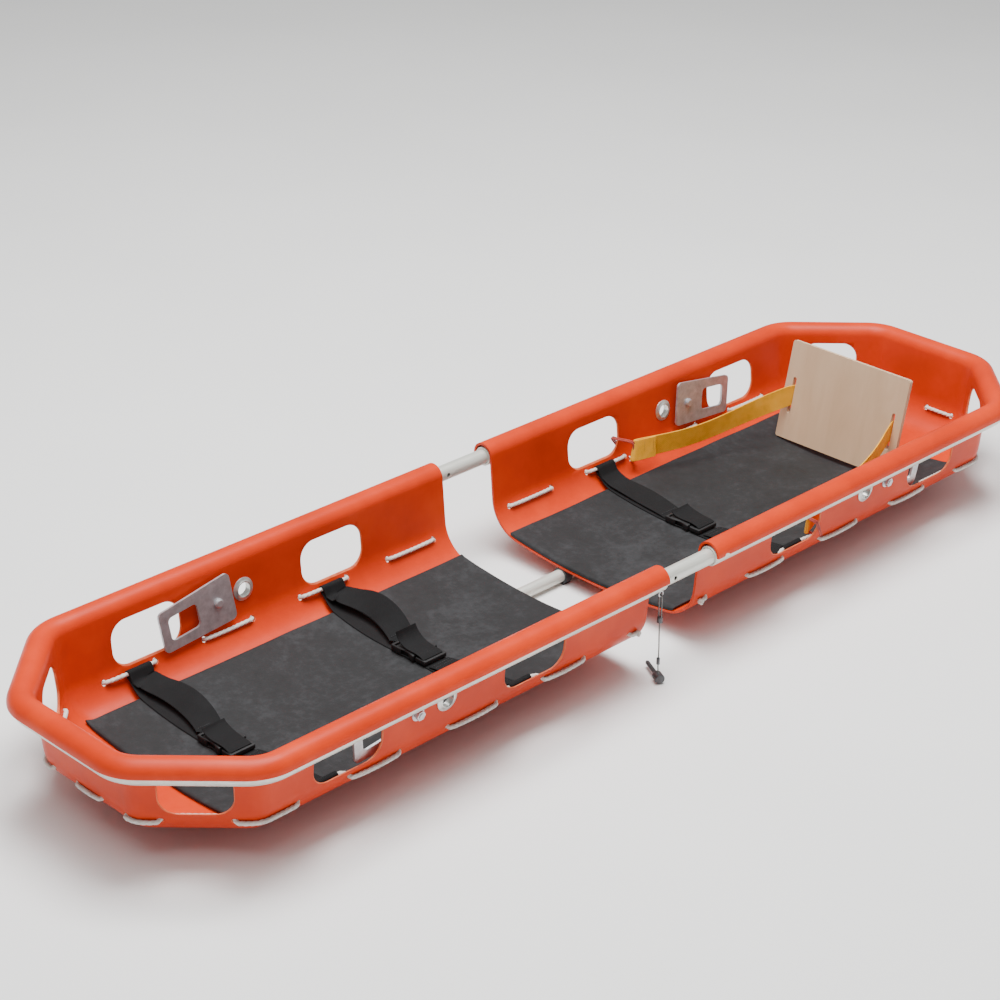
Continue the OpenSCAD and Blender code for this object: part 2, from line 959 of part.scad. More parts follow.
module lanyard_upper_crimp() {
    color("dimgray")
        translate([eye_x, eye_y, 121])
            cylinder(r = 5, h = 10);
}

module pin_lanyard() {
    color("silver")
        swept_tube(lanyard_route, wire_radius, 8, [1, 0, 0]);
}

module lanyard_lower_crimp() {
    color("dimgray")
        translate([eye_x + 0.5, eye_y, 36])
            difference() {
                cylinder(r = 3.2, h = 12);
                translate([0, 0, -1])
                    cylinder(r = 2.2, h = 14);
            }
}

module locking_pin() {
    color("silver")
        translate(pin_start)
            rotate([0, 90, pin_heading]) {
                cylinder(r = 9, h = 20);
                translate([0, 0, 20])
                    cylinder(r = pin_radius, h = 44);
                translate([0, 0, 64])
                    cylinder(r1 = pin_radius, r2 = 2, h = 4, $fn = 48);
            }
}

// Both halves
module left_runners() { color("lightgray") place_left() runners(); }
module left_runner_feet() { color("dimgray") place_left() runner_feet(); }
module left_runner_saddles() { color("silver") place_left() runner_saddles(); }
module left_saddle_rivets() { color("silver") place_left() saddle_rivets(); }
module left_mat() { color("darkslategray") place_left() mat(); }
module left_rope() { color("ivory") place_left() rope([chest_strap_place, head_strap_place]); }
module left_grommets() { color("silver") place_left() grommets(); }
module left_plate_spacers() { color("silver") place_left() plate_spacers(); }
module left_plate_bolts() { color("silver") place_left() plate_bolts(); }
module left_plate_nuts() { color("silver") place_left() plate_nuts(); }
module right_runners() { color("lightgray") place_right() runners(); }
module right_runner_feet() { color("dimgray") place_right() runner_feet(); }
module right_runner_saddles() { color("silver") place_right() runner_saddles(); }
module right_saddle_rivets() { color("silver") place_right() saddle_rivets(); }
module right_mat() { color("darkslategray") place_right() mat(); }
module right_rope() { color("ivory") place_right() rope([chest_strap_place]); }
module right_grommets() { color("silver") place_right() grommets(); }
module right_plate_spacers() { color("silver") place_right() plate_spacers(); }
module right_plate_bolts() { color("silver") place_right() plate_bolts(); }
module right_plate_nuts() { color("silver") place_right() plate_nuts(); }

// Straps and buckles
module head_strap_far() { color("black") place_left() far_strap(head_strap_place); }
module head_strap_near() { color("black") place_left() near_strap(head_strap_place); }
module head_buckle_socket() { color("black") place_left() buckle_socket(head_strap_place); }
module head_buckle_tongue() { color("black") place_left() buckle_tongue(head_strap_place); }
module chest_strap_far() { color("black") place_left() far_strap(chest_strap_place); }
module chest_strap_near() { color("black") place_left() near_strap(chest_strap_place); }
module chest_buckle_socket() { color("black") place_left() buckle_socket(chest_strap_place); }
module chest_buckle_tongue() { color("black") place_left() buckle_tongue(chest_strap_place); }
module leg_strap_far() { color("black") place_right() far_strap(chest_strap_place); }
module leg_strap_near() { color("black") place_right() near_strap(chest_strap_place); }
module leg_buckle_socket() { color("black") place_right() buckle_socket(chest_strap_place); }
module leg_buckle_tongue() { color("black") place_right() buckle_tongue(chest_strap_place); }

left_shell();
left_rim_tube();
left_runners();
left_runner_feet();
left_runner_saddles();
left_saddle_rivets();
left_mat();
left_rope();
left_grommets();
left_plate_spacers();
left_plate_bolts();
left_plate_nuts();
left_far_plate();
left_near_plate();
rim_spigots();
keel_spigots();
right_shell();
right_rim_tube();
right_runners();
right_runner_feet();
right_runner_saddles();
right_saddle_rivets();
right_mat();
right_rope();
right_grommets();
right_plate_spacers();
right_plate_bolts();
right_plate_nuts();
right_far_plate();
right_near_plate();
head_strap_far();
head_strap_near();
head_buckle_socket();
head_buckle_tongue();
chest_strap_far();
chest_strap_near();
chest_buckle_socket();
chest_buckle_tongue();
leg_strap_far();
leg_strap_near();
leg_buckle_socket();
leg_buckle_tongue();
footrest_board();
footrest_back_strap();
footrest_far_strap();
footrest_near_strap();
footrest_loops();
lanyard_eye();
lanyard_loop();
lanyard_upper_crimp();
pin_lanyard();
lanyard_lower_crimp();
locking_pin();
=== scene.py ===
"""Looks of a two-piece basket stretcher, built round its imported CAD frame.

Metres, in the CAD's own frame: X along the stretcher, Y across it, Z up. A half is built with
its split face at x = 0 and its end towards +X, and on_half() puts it in its place.
"""

import math

import bmesh
import bpy
from mathutils import Matrix, Vector, noise


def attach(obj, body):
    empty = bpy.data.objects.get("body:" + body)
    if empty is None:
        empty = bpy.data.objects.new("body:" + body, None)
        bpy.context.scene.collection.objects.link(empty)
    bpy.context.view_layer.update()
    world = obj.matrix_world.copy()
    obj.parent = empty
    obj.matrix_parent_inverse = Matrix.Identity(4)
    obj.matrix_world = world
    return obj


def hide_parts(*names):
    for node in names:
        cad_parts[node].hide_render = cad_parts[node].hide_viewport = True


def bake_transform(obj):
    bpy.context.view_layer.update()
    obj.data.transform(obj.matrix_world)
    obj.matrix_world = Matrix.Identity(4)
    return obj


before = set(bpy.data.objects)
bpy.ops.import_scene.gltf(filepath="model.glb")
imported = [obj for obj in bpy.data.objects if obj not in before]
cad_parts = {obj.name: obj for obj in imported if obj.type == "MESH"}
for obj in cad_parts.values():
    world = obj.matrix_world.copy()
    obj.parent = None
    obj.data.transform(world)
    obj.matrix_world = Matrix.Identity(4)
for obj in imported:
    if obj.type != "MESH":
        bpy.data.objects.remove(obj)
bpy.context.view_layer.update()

MM = 0.001
TAU = 2 * math.pi

# ---------------------------------------------------------------- camera

CAMERA_PLACE = (-2.9176, -2.7289, 2.2045)
CAMERA_AZIMUTH, CAMERA_ELEVATION, CAMERA_ROLL = (math.radians(a) for a in (-45.14, 26.36, 0.62))
CAMERA_LENS, CAMERA_SENSOR = 87.2, 36.0


def make_camera():
    data = bpy.data.cameras.new("camera")
    data.lens, data.sensor_width = CAMERA_LENS, CAMERA_SENSOR
    data.clip_end = 50
    camera = bpy.data.objects.new("camera", data)
    bpy.context.scene.collection.objects.link(camera)
    a, e, r = CAMERA_AZIMUTH, CAMERA_ELEVATION, CAMERA_ROLL
    back = Vector((math.sin(a) * math.cos(e), -math.cos(a) * math.cos(e), math.sin(e)))
    right = Vector((math.cos(a), math.sin(a), 0))
    up = back.cross(right)
    across = right * math.cos(r) + up * math.sin(r)
    upright = up * math.cos(r) - right * math.sin(r)
    turn = Matrix((across, upright, back)).transposed().to_4x4()
    camera.matrix_world = Matrix.Translation(CAMERA_PLACE) @ turn
    bpy.context.scene.camera = camera


make_camera()

# ---------------------------------------------------------------- sizes of the shell

HALF_GAP = 65 * MM
RIM_X, RIM_Y, RIM_Z = 1056 * MM, 288 * MM, 200 * MM
LIP_RADIUS, SHELL_WALL = 24 * MM, 4.5 * MM
FLOOR_HEIGHT, FLOOR_RADIUS = 30 * MM, 1300 * MM
CORNER_RADIUS, CORNER_Y = 75 * MM, 186 * MM
END_CHAMFER, BEND_RADIUS, MIN_BEND = 158 * MM, 75 * MM, 30 * MM
TAN_HALF = math.tan(math.radians(22.5))

FLOOR_CENTRE_Z = FLOOR_HEIGHT + FLOOR_RADIUS
CORNER_Z = FLOOR_CENTRE_Z - math.sqrt((FLOOR_RADIUS - CORNER_RADIUS) ** 2 - CORNER_Y ** 2)
FLOOR_ANGLE = math.asin(CORNER_Y / (FLOOR_RADIUS - CORNER_RADIUS))
LIP_INNER = LIP_RADIUS - SHELL_WALL
WALL_TILT = (
    math.acos((CORNER_RADIUS + LIP_INNER) / math.hypot(RIM_Y - CORNER_Y, RIM_Z - CORNER_Z))
    - math.atan2(RIM_Z - CORNER_Z, RIM_Y - CORNER_Y)
)
SKIRT_ANGLE = math.radians(-5)

HAND_HOLE = (145 * MM, 84 * MM, 32 * MM)
END_HOLE = (118 * MM, 84 * MM, 32 * MM)
HAND_HOLE_Z, HAND_HOLE_PLACES = 144 * MM, (285 * MM, 708 * MM)
FEATURE_Z, BOLT_PLACE, GROMMET_PLACE = 150 * MM, 560 * MM, 494 * MM
SADDLE_PLACES, RUNNER_Y, RIVET_REACH = (60 * MM, 420 * MM, 790 * MM), 75 * MM, 27 * MM

ROPE_RADIUS, ROPE_TILT = 4 * MM, math.radians(25)
ROPE_CLEAR = SHELL_WALL / 2 + ROPE_RADIUS + 0.4 * MM
ROPE_SIDE_HOLES = [p * MM for p in (38, 155, 258, 370, 483, 592, 700, 808)]
ROPE_CHAMFER_HOLES, ROPE_END_HOLES = (0.2, 0.8), (95 * MM, 32 * MM)
ROPE_BOW = 11.5 * MM

CHEST_PLACE, HEAD_PLACE = 302 * MM, 740 * MM
LOOP_PLACE, LOOP_Z = 364.5 * MM, 106.5 * MM


def lip_point(inside, angle):
    r = LIP_INNER + inside
    return RIM_Y + r * math.cos(angle), RIM_Z + r * math.sin(angle)


def corner_point(inside, angle):
    r = CORNER_RADIUS - inside
    return CORNER_Y + r * math.cos(angle), CORNER_Z + r * math.sin(angle)


def floor_point(inside, angle):
    r = FLOOR_RADIUS - inside
    return r * math.sin(angle), FLOOR_CENTRE_Z - r * math.cos(angle)


def wall_y(inside, z):
    c, s = math.cos(WALL_TILT), math.sin(WALL_TILT)
    return (RIM_Y * c - RIM_Z * s - LIP_INNER - inside + z * s) / c


def spread(start, end, steps):
    return [start + (end - start) * i / steps for i in range(steps + 1)]


def section(inside):
    """The shell's cross-section from the lip's skirt to the flat middle of the floor."""
    lip = [lip_point(inside, a) for a in spread(SKIRT_ANGLE, math.pi - WALL_TILT, 26)]
    corner = [corner_point(inside, a) for a in spread(-WALL_TILT, FLOOR_ANGLE - math.pi / 2, 16)]
    top, bottom = lip[-1], corner[0]
    wall = [(top[0] + (bottom[0] - top[0]) * t, top[1] + (bottom[1] - top[1]) * t)
            for t in spread(0, 1, 7)[1:-1]]
    floor = [floor_point(inside, FLOOR_ANGLE * t) for t in spread(1, 0.31, 6)[1:]]
    return lip + wall + corner + floor


def near_plan(inset, sides=40, bend=12, chamfer=6, end=5):
    """Half of the shell's outline at one level, from the near split edge to the middle of the end."""
    r = max(BEND_RADIUS - inset, MIN_BEND)
    tangent = r * TAN_HALF
    side_y = inset - RIM_Y
    side_end = RIM_X - END_CHAMFER - inset * TAN_HALF
    end_x = RIM_X - inset
    end_y = END_CHAMFER - RIM_Y + inset * TAN_HALF
    straight = [(x, side_y) for x in spread(0, side_end - tangent, sides)[:-1]]
    first = [(side_end - tangent + r * math.sin(a), side_y + r - r * math.cos(a))
             for a in spread(0, math.pi / 4, bend)]
    second = [(end_x - r + r * math.sin(a), end_y + tangent - r * math.cos(a))
              for a in spread(math.pi / 4, math.pi / 2, bend)]
    a, b = first[-1], second[0]
    middle = [(a[0] + (b[0] - a[0]) * t, a[1] + (b[1] - a[1]) * t) for t in spread(0, 1, chamfer)[1:-1]]
    last = [(end_x, y) for y in spread(end_y + tangent, 0, end)[1:]]
    return straight + first + middle + second + last


def full_plan(inset, **counts):
    near = near_plan(inset, **counts)
    return near + [(x, -y) for x, y in reversed(near[:-1])]


def on_half(half, p):
    """A point of a half as drawn, put in its place in the pair."""
    x, y, z = p
    return (x + HALF_GAP, y, z) if half == "right" else (-x - HALF_GAP, y, z)


def wall_frame(place, z):
    """Where a point of the far wall's middle surface is, with +Z into the basket and +Y up."""
    turn = Matrix.Rotation(math.pi / 2 - WALL_TILT, 4, "X")
    return Matrix.Translation((place, wall_y(SHELL_WALL / 2, z), z)) @ turn


def chamfer_frame(z):
    """The same for the middle of the cut-off far corner."""
    inset = RIM_Y - wall_y(SHELL_WALL / 2, z)
    x = RIM_X - END_CHAMFER / 2 - inset * (1 + TAN_HALF) / 2
    y = RIM_Y - END_CHAMFER / 2 - inset * (1 + TAN_HALF) / 2
    return Matrix.Translation((x, y, z)) @ Matrix.Rotation(-math.pi / 4, 4, "Z") @ \
        Matrix.Rotation(math.pi / 2 - WALL_TILT, 4, "X")


MIRROR_Y = Matrix.Diagonal((1, -1, 1, 1))

# ---------------------------------------------------------------- materials


class Look:
    """A node material: a Principled shader with helpers for procedural colour, roughness and bump."""

    def __init__(self, name, color, roughness, metallic=0.0, **sockets):
        self.material = bpy.data.materials.new(name)
        self.material.use_nodes = True
        self.tree = self.material.node_tree
        self.shader = self.tree.nodes["Principled BSDF"]
        self.set("Base Color", (*color, 1))
        self.set("Roughness", roughness)
        self.set("Metallic", metallic)
        for key, value in sockets.items():
            self.set(key.replace("_", " "), value)
        self.heights = None

    def set(self, socket, value):
        self.shader.inputs[socket].default_value = value

    def add(self, kind, **inputs):
        node = self.tree.nodes.new(kind)
        for key, value in inputs.items():
            self.feed(node, key.replace("_", " "), value)
        return node

    def feed(self, node, socket, value):
        target = node.inputs[int(socket) if socket.isdigit() else socket]
        if isinstance(value, bpy.types.NodeSocket):
            self.tree.links.new(value, target)
        else:
            target.default_value = value

    def coords(self, output="Object", stretch=(1, 1, 1), turn=(0, 0, 0)):
        source = self.add("ShaderNodeTexCoord")
        mapping = self.add("ShaderNodeMapping", Vector=source.outputs[output])
        mapping.inputs["Scale"].default_value = stretch
        mapping.inputs["Rotation"].default_value = turn
        return mapping.outputs["Vector"]

    def noise(self, scale, detail=3.0, rough=0.55, stretch=(1, 1, 1), output="Object", distortion=0.0):
        node = self.add("ShaderNodeTexNoise", Vector=self.coords(output, stretch), Scale=scale,
                        Detail=detail, Roughness=rough, Distortion=distortion)
        return node.outputs["Fac"]

    def cells(self, scale, stretch=(1, 1, 1), output="Object"):
        node = self.add("ShaderNodeTexVoronoi", Vector=self.coords(output, stretch), Scale=scale)
        return node.outputs["Distance"]

    def bands(self, scale, direction, output="UV", stretch=(1, 1, 1), turn=(0, 0, 0)):
        node = self.add("ShaderNodeTexWave", Vector=self.coords(output, stretch, turn), Scale=scale)
        node.bands_direction = direction
        return node.outputs["Fac"]

    def math(self, operation, a, b):
        node = self.add("ShaderNodeMath")
        node.operation = operation
        self.feed(node, "0", a)
        self.feed(node, "1", b)
        return node.outputs[0]

    def ramp(self, fac, *stops):
        node = self.add("ShaderNodeValToRGB", Fac=fac)
        ramp = node.color_ramp
        ramp.elements[0].position, ramp.elements[1].position = stops[0][0], stops[-1][0]
        for place, _ in stops[1:-1]:
            ramp.elements.new(place)
        for element, (_, color) in zip(ramp.elements, stops):
            element.color = (*color, 1) if len(color) == 3 else color
        return node.outputs["Color"]

    def paint(self, fac, *stops):
        self.feed(self.shader, "Base Color", self.ramp(fac, *stops))

    def gloss(self, fac, low, high):
        node = self.add("ShaderNodeMapRange", Value=fac)
        node.inputs["To Min"].default_value = low
        node.inputs["To Max"].default_value = high
        self.feed(self.shader, "Roughness", node.outputs["Result"])

    def bump(self, height, distance, strength=1.0):
        node = self.add("ShaderNodeBump", Height=height, Distance=distance, Strength=strength)
        if self.heights is not None:
            self.feed(node, "Normal", self.heights)
        self.heights = node.outputs["Normal"]
        self.feed(self.shader, "Normal", self.heights)


def shade(color, factor):
    return tuple(min(1.0, c * factor) for c in color)


SHELL_COLOR = (0.60, 0.036, 0.003)
SHELL_CUT_COLOR = (0.72, 0.11, 0.03)
MAT_COLOR = (0.0115, 0.0120, 0.0130)


def shell_look():
    look = Look("shell_plastic_moulded", SHELL_COLOR, 0.4, Specular_IOR_Level=0.2)
    cloudy = look.noise(7.0, 4.0, 0.6)
    look.paint(cloudy, (0.3, shade(SHELL_COLOR, 0.86)), (0.5, SHELL_COLOR), (0.72, (0.68, 0.050, 0.007)))
    look.gloss(look.noise(26.0, 5.0, 0.65), 0.30, 0.50)
    look.bump(look.noise(420.0, 2.0, 0.5), 0.25 * MM, 0.35)
    look.bump(look.noise(14.0, 2.0, 0.4), 1.2 * MM, 0.25)
    return look.material


def shell_cut_look():
    look = Look("shell_plastic_cut_edge", SHELL_CUT_COLOR, 0.55)
    look.paint(look.noise(60.0, 3.0), (0.35, shade(SHELL_CUT_COLOR, 0.85)), (0.7, (0.78, 0.17, 0.06)))
    look.bump(look.noise(300.0, 3.0), 0.3 * MM, 0.5)
    return look.material


def tube_look():
    look = Look("tube_satin", (0.66, 0.66, 0.60), 0.36, 0.35)
    grain = look.noise(90.0, 4.0, 0.6, (0.06, 1, 1))
    look.paint(grain, (0.3, (0.56, 0.56, 0.50)), (0.55, (0.68, 0.68, 0.62)), (0.8, (0.76, 0.76, 0.71)))
    look.gloss(look.noise(40.0, 4.0), 0.26, 0.48)
    look.bump(look.noise(500.0, 2.0, 0.5, (0.05, 1, 1)), 0.1 * MM, 0.3)
    return look.material


def steel_look(name, color, scale=70.0, rough=(0.32, 0.55)):
    look = Look(name, color, 0.4, 0.75)
    fog = look.noise(scale, 5.0, 0.65)
    look.paint(fog, (0.3, shade(color, 0.78)), (0.5, color), (0.75, shade(color, 1.25)))
    look.gloss(look.noise(scale * 2.2, 4.0, 0.6), *rough)
    look.bump(look.noise(600.0, 3.0, 0.6, (0.2, 1, 1)), 0.12 * MM, 0.4)
    return look.material


def rubber_look(name, color):
    look = Look(name, color, 0.62)
    look.paint(look.noise(60.0, 4.0), (0.3, shade(color, 0.7)), (0.7, shade(color, 1.5)))
    look.gloss(look.noise(30.0, 3.0), 0.5, 0.75)
    look.bump(look.noise(700.0, 2.0), 0.15 * MM, 0.5)
    return look.material


def foam_look():
    look = Look("mat_foam_skin", MAT_COLOR, 0.78, Specular_IOR_Level=0.35,
                Sheen_Weight=0.05, Sheen_Roughness=0.5)
    broad, fine = look.noise(9.0, 6.0, 0.68, distortion=0.4), look.noise(70.0, 4.0, 0.7)
    both = look.math("ADD", look.math("MULTIPLY", broad, 0.65), look.math("MULTIPLY", fine, 0.35))
    look.paint(both, (0.36, shade(MAT_COLOR, 0.5)), (0.5, MAT_COLOR), (0.64, shade(MAT_COLOR, 2.3)))
    look.gloss(broad, 0.62, 0.86)
    look.bump(look.cells(520.0), 0.35 * MM, 0.45)
    look.bump(look.noise(45.0, 5.0, 0.65), 0.8 * MM, 0.5)
    return look.material


def webbing_look(name, color, bright, pitch=2.4 * MM):
    """Woven tape: ribs across, broken up by warp threads, on UV in metres."""
    look = Look(name, color, 0.78, Specular_IOR_Level=0.25, Sheen_Weight=0.02, Sheen_Roughness=0.4)
    ribs = look.bands(1 / pitch / 2, "Y")
    warp = look.bands(1 / pitch / 1.3, "X")
    twill = look.bands(1 / pitch / 3, "DIAGONAL")
    weave = look.math("MULTIPLY", look.math("ADD", ribs, twill), warp)
    wear = look.noise(38.0, 4.0, 0.6)
    mixed = look.math("ADD", look.math("MULTIPLY", weave, 0.16), look.math("MULTIPLY", wear, 0.7))
    look.paint(mixed, (0.2, shade(color, 0.7)), (0.45, color), (0.8, bright))
    look.bump(weave, 0.3 * MM, 0.55)
    return look.material


def rope_look(name, color):
    look = Look(name, color, 0.8, Sheen_Weight=0.2)
    fibre = look.bands(900.0, "DIAGONAL", stretch=(1, 0.35, 1))
    dirt = look.noise(55.0, 4.0, 0.6)
    mixed = look.math("ADD", look.math("MULTIPLY", fibre, 0.3), look.math("MULTIPLY", dirt, 0.6))
    look.paint(mixed, (0.2, shade(color, 0.72)), (0.5, color), (0.8, shade(color, 1.12)))
    look.bump(fibre, 0.25 * MM, 0.6)
    return look.material


def board_look():
    look = Look("footrest_board_face", (0.62, 0.43, 0.27), 0.5)
    grain = look.noise(9.0, 5.0, 0.6, (1, 2.6, 0.6), distortion=0.5)
    look.paint(grain, (0.25, (0.57, 0.385, 0.235)), (0.5, (0.62, 0.43, 0.27)), (0.75, (0.67, 0.48, 0.31)))
    look.gloss(look.noise(24.0, 4.0), 0.42, 0.62)
    look.bump(look.noise(160.0, 3.0, 0.6, (1, 4, 0.5)), 0.2 * MM, 0.4)
    return look.material


def floor_look():
    look = Look("studio_floor", (0.9, 0.9, 0.89), 0.9)
    look.paint(look.noise(1.5, 2.0), (0.3, (0.85, 0.85, 0.84)), (0.7, (0.88, 0.88, 0.87)))
    return look.material


SHELL, SHELL_CUT, TUBE = shell_look(), shell_cut_look(), tube_look()
STEEL = steel_look("plate_steel_dull", (0.54, 0.54, 0.56), rough=(0.34, 0.55))
BRIGHT_STEEL = steel_look("grommet_steel", (0.62, 0.63, 0.60), 90.0, (0.22, 0.42))
WIRE = steel_look("wire_steel_strand", (0.13, 0.13, 0.125), 120.0, (0.3, 0.5))
DARK_STEEL = steel_look("crimp_steel_dark", (0.10, 0.10, 0.105), 90.0, (0.35, 0.6))
RUBBER = rubber_look("foot_rubber", (0.035, 0.035, 0.037))
BUCKLE = rubber_look("buckle_plastic_black", (0.004, 0.004, 0.0045))
FOAM = foam_look()
BLACK_WEB = webbing_look("strap_webbing_black", (0.0035, 0.0035, 0.004), (0.010, 0.010, 0.011))
YELLOW_WEB = webbing_look("footrest_webbing_yellow", (1.0, 0.47, 0.02), (1.0, 0.62, 0.10))
ROPE = rope_look("rope_fibre_white", (0.76, 0.72, 0.66))
CORD = rope_look("loop_cord_red", (0.42, 0.045, 0.03))
THREAD_LIGHT = rope_look("stitching_thread_ochre", (0.62, 0.30, 0.06))
THREAD_DARK = rope_look("stitching_thread_black", (0.03, 0.03, 0.033))
BOARD = board_look()

# ---------------------------------------------------------------- mesh helpers


def make_object(name, points, faces, materials, sharp=38.0, uvs=None, recalc=True):
    """A mesh object. uvs, if given, has one (u, v) in metres for each point."""
    mesh = bpy.data.meshes.new(name)
    mesh.from_pydata([tuple(p) for p in points], [], faces)
    for material in materials if isinstance(materials, (list, tuple)) else [materials]:
        mesh.materials.append(material)
    if uvs:
        layer = mesh.uv_layers.new(name="UVMap")
        for loop in mesh.loops:
            layer.data[loop.index].uv = uvs[loop.vertex_index]
    if recalc:
        work = bmesh.new()
        work.from_mesh(mesh)
        bmesh.ops.recalc_face_normals(work, faces=work.faces)
        work.to_mesh(mesh)
        work.free()
    smooth(mesh, sharp)
    obj = bpy.data.objects.new(name, mesh)
    bpy.context.scene.collection.objects.link(obj)
    return obj


def smooth(mesh, sharp=38.0):
    mesh.polygons.foreach_set("use_smooth", [True] * len(mesh.polygons))
    mesh.set_sharp_from_angle(angle=math.radians(sharp))
    mesh.update()


def apply_modifiers(obj):
    graph = bpy.context.evaluated_depsgraph_get()
    baked = bpy.data.meshes.new_from_object(obj.evaluated_get(graph))
    obj.modifiers.clear()
    obj.data = baked


def loft(rings, closed_ring=True, caps=True):
    """Faces between rings of equal size, given as one list of points after another."""
    size, faces = len(rings[0]), []
    wrap = size if closed_ring else size - 1
    for r in range(len(rings) - 1):
        for k in range(wrap):
            a, b = r * size + k, r * size + (k + 1) % size
            faces.append((a, b, b + size, a + size))
    if caps:
        last = (len(rings) - 1) * size
        faces.append(tuple(range(size - 1, -1, -1)))
        faces.append(tuple(last + k for k in range(size)))
    return [p for ring in rings for p in ring], faces


def frames_along(path, up):
    """A point, forward, side and normal direction for each point of a path."""
    points = [Vector(p) for p in path]
    up = Vector(up)
    found = []
    for i, p in enumerate(points):
        ahead = (points[min(i + 1, len(points) - 1)] - points[max(i - 1, 0)]).normalized()
        side = ahead.cross(up)
        side = side.normalized() if side.length > 1e-6 else found[-1][2]
        found.append((p, ahead, side, side.cross(ahead)))
    return found


def carried_frames(path):
    """Frames that turn as little as they can along the path, for round sections."""
    points = [Vector(p) for p in path]
    found, side = [], None
    for i, p in enumerate(points):
        ahead = (points[min(i + 1, len(points) - 1)] - points[max(i - 1, 0)]).normalized()
        if side is None:
            side = ahead.orthogonal()
        side = (side - ahead * side.dot(ahead)).normalized()
        found.append((p, ahead, side, side.cross(ahead)))
    return found


def distances(path):
    found = [0.0]
    for a, b in zip(path, path[1:]):
        found.append(found[-1] + (Vector(b) - Vector(a)).length)
    return found


def rounded(path, rounds=3):
    """The path with its corners cut, its ends kept."""
    points = [Vector(p) for p in path]
    for _ in range(rounds):
        cut = [points[0]]
        for a, b in zip(points, points[1:]):
            cut += [a.lerp(b, 0.25), a.lerp(b, 0.75)]
        points = cut + [points[-1]]
    return points


def even(path, step):
    """Points at an even distance along a path."""
    points, along = [Vector(p) for p in path], distances(path)
    count = max(2, round(along[-1] / step))
    found, k = [], 0
    for i in range(count + 1):
        want = along[-1] * i / count
        while k < len(along) - 2 and along[k + 1] < want:
            k += 1
        gap = along[k + 1] - along[k]
        found.append(points[k].lerp(points[k + 1], min(1.0, (want - along[k]) / gap) if gap > 0 else 0))
    return found


def twisted_rope(name, path, radius, material, pitch, strands=3, sides=18, step=2 * MM):
    """A laid rope: lobes that turn round the path."""
    path = even(rounded(path), step)
    along, rings, uvs = distances(path), [], []
    for (p, _, side, over), s in zip(carried_frames(path), along):
        ring = []
        for k in range(sides):
            a = TAU * k / sides
            lobe = abs(math.cos(strands / 2 * (a - TAU * s / pitch)))
            r = radius * (0.78 + 0.24 * lobe)
            ring.append(p + (side * math.cos(a) + over * math.sin(a)) * r)
            uvs.append((a * radius, s))
        rings.append(ring)
    points, faces = loft(rings)
    return make_object(name, points, faces, material, 60, uvs)


def tube(name, path, radius, material, sides=16, closed=False):
    frames = carried_frames(path)
    rings = [[p + (side * math.cos(TAU * k / sides) + over * math.sin(TAU * k / sides)) * radius
              for k in range(sides)] for p, _, side, over in frames]
    points, faces = loft(rings, caps=not closed)
    if closed:
        last = (len(rings) - 1) * sides
        faces += [(last + k, last + (k + 1) % sides, (k + 1) % sides, k) for k in range(sides)]
    along = distances(path)
    uvs = [(TAU * k / sides * radius, s) for s in along for k in range(sides)]
    return make_object(name, points, faces, material, 50, uvs)


def lathe(name, profile, place, material, sides=48):
    """A solid of revolution about the place's Z axis from (radius, height) pairs round a closed outline."""
    points, faces = [], []
    n = len(profile)
    for k in range(sides):
        a = TAU * k / sides
        points += [place @ Vector((r * math.cos(a), r * math.sin(a), h)) for r, h in profile]
    for k in range(sides):
        for j in range(n):
            a, b = k * n + j, k * n + (j + 1) % n
            c, d = ((k + 1) % sides) * n + (j + 1) % n, ((k + 1) % sides) * n + j
            faces.append((a, b, c, d))
    obj = make_object(name, points, faces, material, 32)
    work = bmesh.new()
    work.from_mesh(obj.data)
    bmesh.ops.remove_doubles(work, verts=work.verts, dist=1e-6)
    bmesh.ops.recalc_face_normals(work, faces=work.faces)
    work.to_mesh(obj.data)
    work.free()
    smooth(obj.data, 32)
    return obj


def rounded_outline(width, height, corner, steps=9):
    """A rectangle with round corners, anticlockwise about the origin."""
    found = []
    for cx, cy, start in ((1, 1, 0), (-1, 1, 90), (-1, -1, 180), (1, -1, 270)):
        for a in spread(math.radians(start), math.radians(start + 90), steps):
            found.append((cx * (width / 2 - corner) + corner * math.cos(a),
                          cy * (height / 2 - corner) + corner * math.sin(a)))
    return found


def circle_outline(radius, sides=24):
    return [(radius * math.cos(TAU * k / sides), radius * math.sin(TAU * k / sides)) for k in range(sides)]


def join(name, objects):
    """Several meshes as one object, each keeping its own closed surface."""
    points, faces, uvs, materials, slots = [], [], [], [], []
    for obj in objects:
        mesh, base = obj.data, len(points)
        points += [obj.matrix_world @ v.co for v in mesh.vertices]
        places = []
        for m in mesh.materials:
            if m not in materials:
                materials.append(m)
            places.append(materials.index(m))
        layer = mesh.uv_layers.active
        for poly in mesh.polygons:
            faces.append(tuple(base + v for v in poly.vertices))
            slots.append(places[poly.material_index] if places else 0)
            uvs += [tuple(layer.data[i].uv) if layer else (0.0, 0.0) for i in poly.loop_indices]
    made = make_object(name, points, faces, materials, recalc=False)
    layer = made.data.uv_layers.new(name="UVMap")
    for item, uv in zip(layer.data, uvs):
        item.uv = uv
    made.data.polygons.foreach_set("material_index", slots)
    for obj in objects:
        mesh = obj.data
        bpy.data.objects.remove(obj)
        bpy.data.meshes.remove(mesh)
    return made


def finish_piece(piece, body, slot_name, *nodes):
    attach(piece, body)
    if nodes:
        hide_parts(*nodes)
    return piece


# ---------------------------------------------------------------- free cord: the locking pin's lanyard

